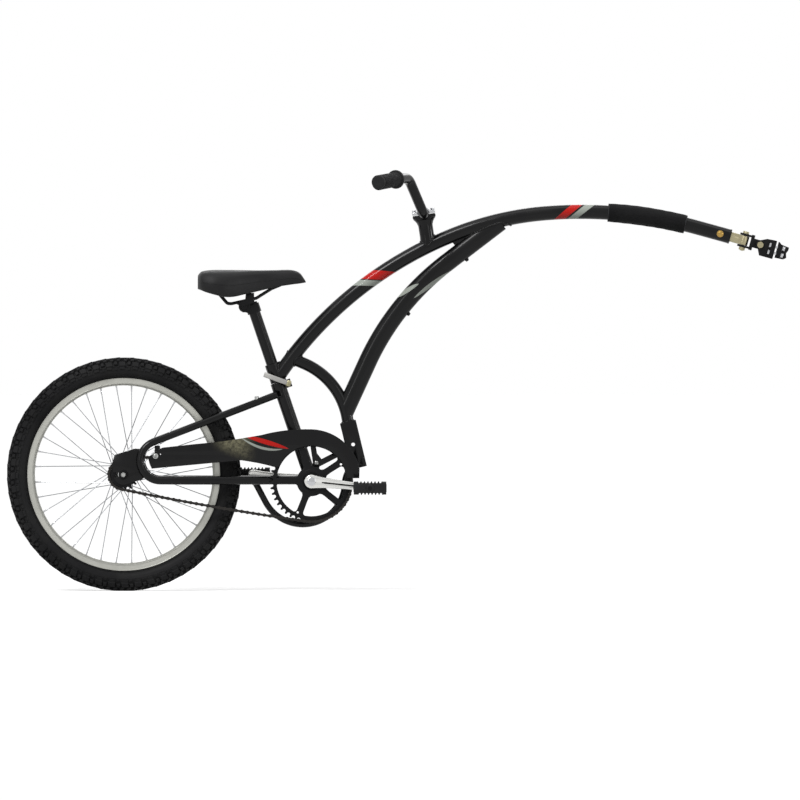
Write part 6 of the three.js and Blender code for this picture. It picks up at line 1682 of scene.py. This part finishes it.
for build in (build_tyre, build_rim, build_hub, build_axle, build_chain, build_chainring, build_cog, build_cranks,
              build_pedals, build_rear_frame, build_seat_clamp, build_front_frame, build_boom_pad, build_handlebar,
              build_bar_clamp, build_saddle, build_post, build_guard, build_hitch):
    build()

# Any CAD node still shown takes the finish of its slot
BY_SLOT = {
    "painted_frame": PAINT, "black_steel": SATIN, "black_plastic": PLASTIC, "bar_rubber": BAR_RUBBER,
    "pad_foam": PAD_CLOTH, "saddle_vinyl": VINYL, "tyre_rubber": TYRE_RUBBER, "bright_metal": BRIGHT,
    "chrome": CHROME, "yellow_zinc": ZINC, "brass": BRASS, "chain_steel": CHAIN_STEEL,
}
for node, solid in frame["nodes"].items():
    for slot in solid.material_slots:
        slot.link = "OBJECT"
        slot.material = BY_SLOT[SLOT_OF[node]]


# Floor, light and camera
FLOOR_HALF = 40
SURROUND = 0.24
LENS = 611
CAMERA_AIM = (0.6102, 0, 0.1642)
CAMERA_OFF = (0, -30, 0.336)
LAMP_AIM = Vector((-0.85, 0, -0.3))
LAMPS = [
    ("overhead_soft", (-0.8, -0.4, 2.6), (3.4, 1.2), 18), ("front_left_soft", (-3.2, -3.4, 1.2), (0.5, 2.4), 16),
    ("front_right_soft", (2.0, -3.2, 0.6), (0.4, 2.4), 14), ("rear_strip", (-0.6, 3.0, 1.6), (3.0, 0.5), 16),
]
SUNS = [("key_sun", 1.7, 20, (0.40, 0.56, -0.73)), ("edge_sun", 0.5, 11, (-0.96, 0.12, -0.2))]


def seen_or_mirrored(graph):
    path = graph.node("ShaderNodeLightPath").outputs
    mirrored = graph.maths("MAXIMUM", path["Is Glossy Ray"], path["Is Transmission Ray"])
    return graph.maths("MAXIMUM", path["Is Camera Ray"], mirrored)


def stage_material():
    """White where it is looked at or mirrored, a mid grey for the light that it throws back; the shadow is kept."""
    material = bpy.data.materials.new("White floor")
    material.use_nodes = True
    graph = Graph(material.node_tree)
    graph.tree.nodes.clear()
    cloth = lambda grey: graph.node("ShaderNodeBsdfDiffuse", {"Color": (grey, grey, grey, 1)}).outputs[0]
    glow = graph.node("ShaderNodeEmission", {"Strength": 0.5}).outputs[0]
    white = graph.node("ShaderNodeAddShader", {0: cloth(0.8), 1: glow}).outputs[0]
    choice = graph.node("ShaderNodeMixShader", {0: seen_or_mirrored(graph), 1: cloth(0.35), 2: white}).outputs[0]
    graph.node("ShaderNodeOutputMaterial", {0: choice})
    return material


def staged(name, data, spot=(0, 0, 0), way=None):
    """A light, the camera or the floor, put in its place and turned to look one way."""
    thing = bpy.data.objects.new(name, data)
    SCENE.collection.objects.link(thing)
    thing.location = spot
    if way:
        thing.rotation_mode = "QUATERNION"
        thing.rotation_quaternion = Vector(way).to_track_quat("-Z", "Y")
    return thing


def build_stage():
    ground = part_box("tyre")[0].z - 0.0005
    mesh = bpy.data.meshes.new("floor")
    corners = [(x * FLOOR_HALF, y * FLOOR_HALF, ground) for x, y in ((-1, -1), (1, -1), (1, 1), (-1, 1))]
    mesh.from_pydata(corners, [], [(0, 1, 2, 3)])
    mesh.materials.append(stage_material())
    staged("floor", mesh)

    world = bpy.data.worlds.new("White surround")
    SCENE.world = world
    world.use_nodes = True
    graph = Graph(world.node_tree)
    back = graph.tree.nodes["Background"]
    graph.fill(back.inputs["Color"], (1, 1, 1, 1))
    graph.fill(back.inputs["Strength"], graph.maths("MAXIMUM", seen_or_mirrored(graph), SURROUND))

    for name, spot, size, power in LAMPS:
        light = bpy.data.lights.new(name, "AREA")
        light.shape = "RECTANGLE"
        light.size, light.size_y = size
        light.energy = power
        staged(name, light, spot, LAMP_AIM - Vector(spot))
    for name, power, spread, heading in SUNS:
        light = bpy.data.lights.new(name, "SUN")
        light.energy, light.angle = power, radians(spread)
        staged(name, light, way=heading)

    lens = bpy.data.cameras.new("camera")
    lens.lens = LENS
    lens.sensor_width = 36
    lens.clip_end = 100
    middle = AXLE + Vector(CAMERA_AIM)
    spot = middle + Vector(CAMERA_OFF)
    SCENE.camera = staged("camera", lens, spot, middle - spot)
    SCENE.view_settings.view_transform = "Standard"


build_stage()
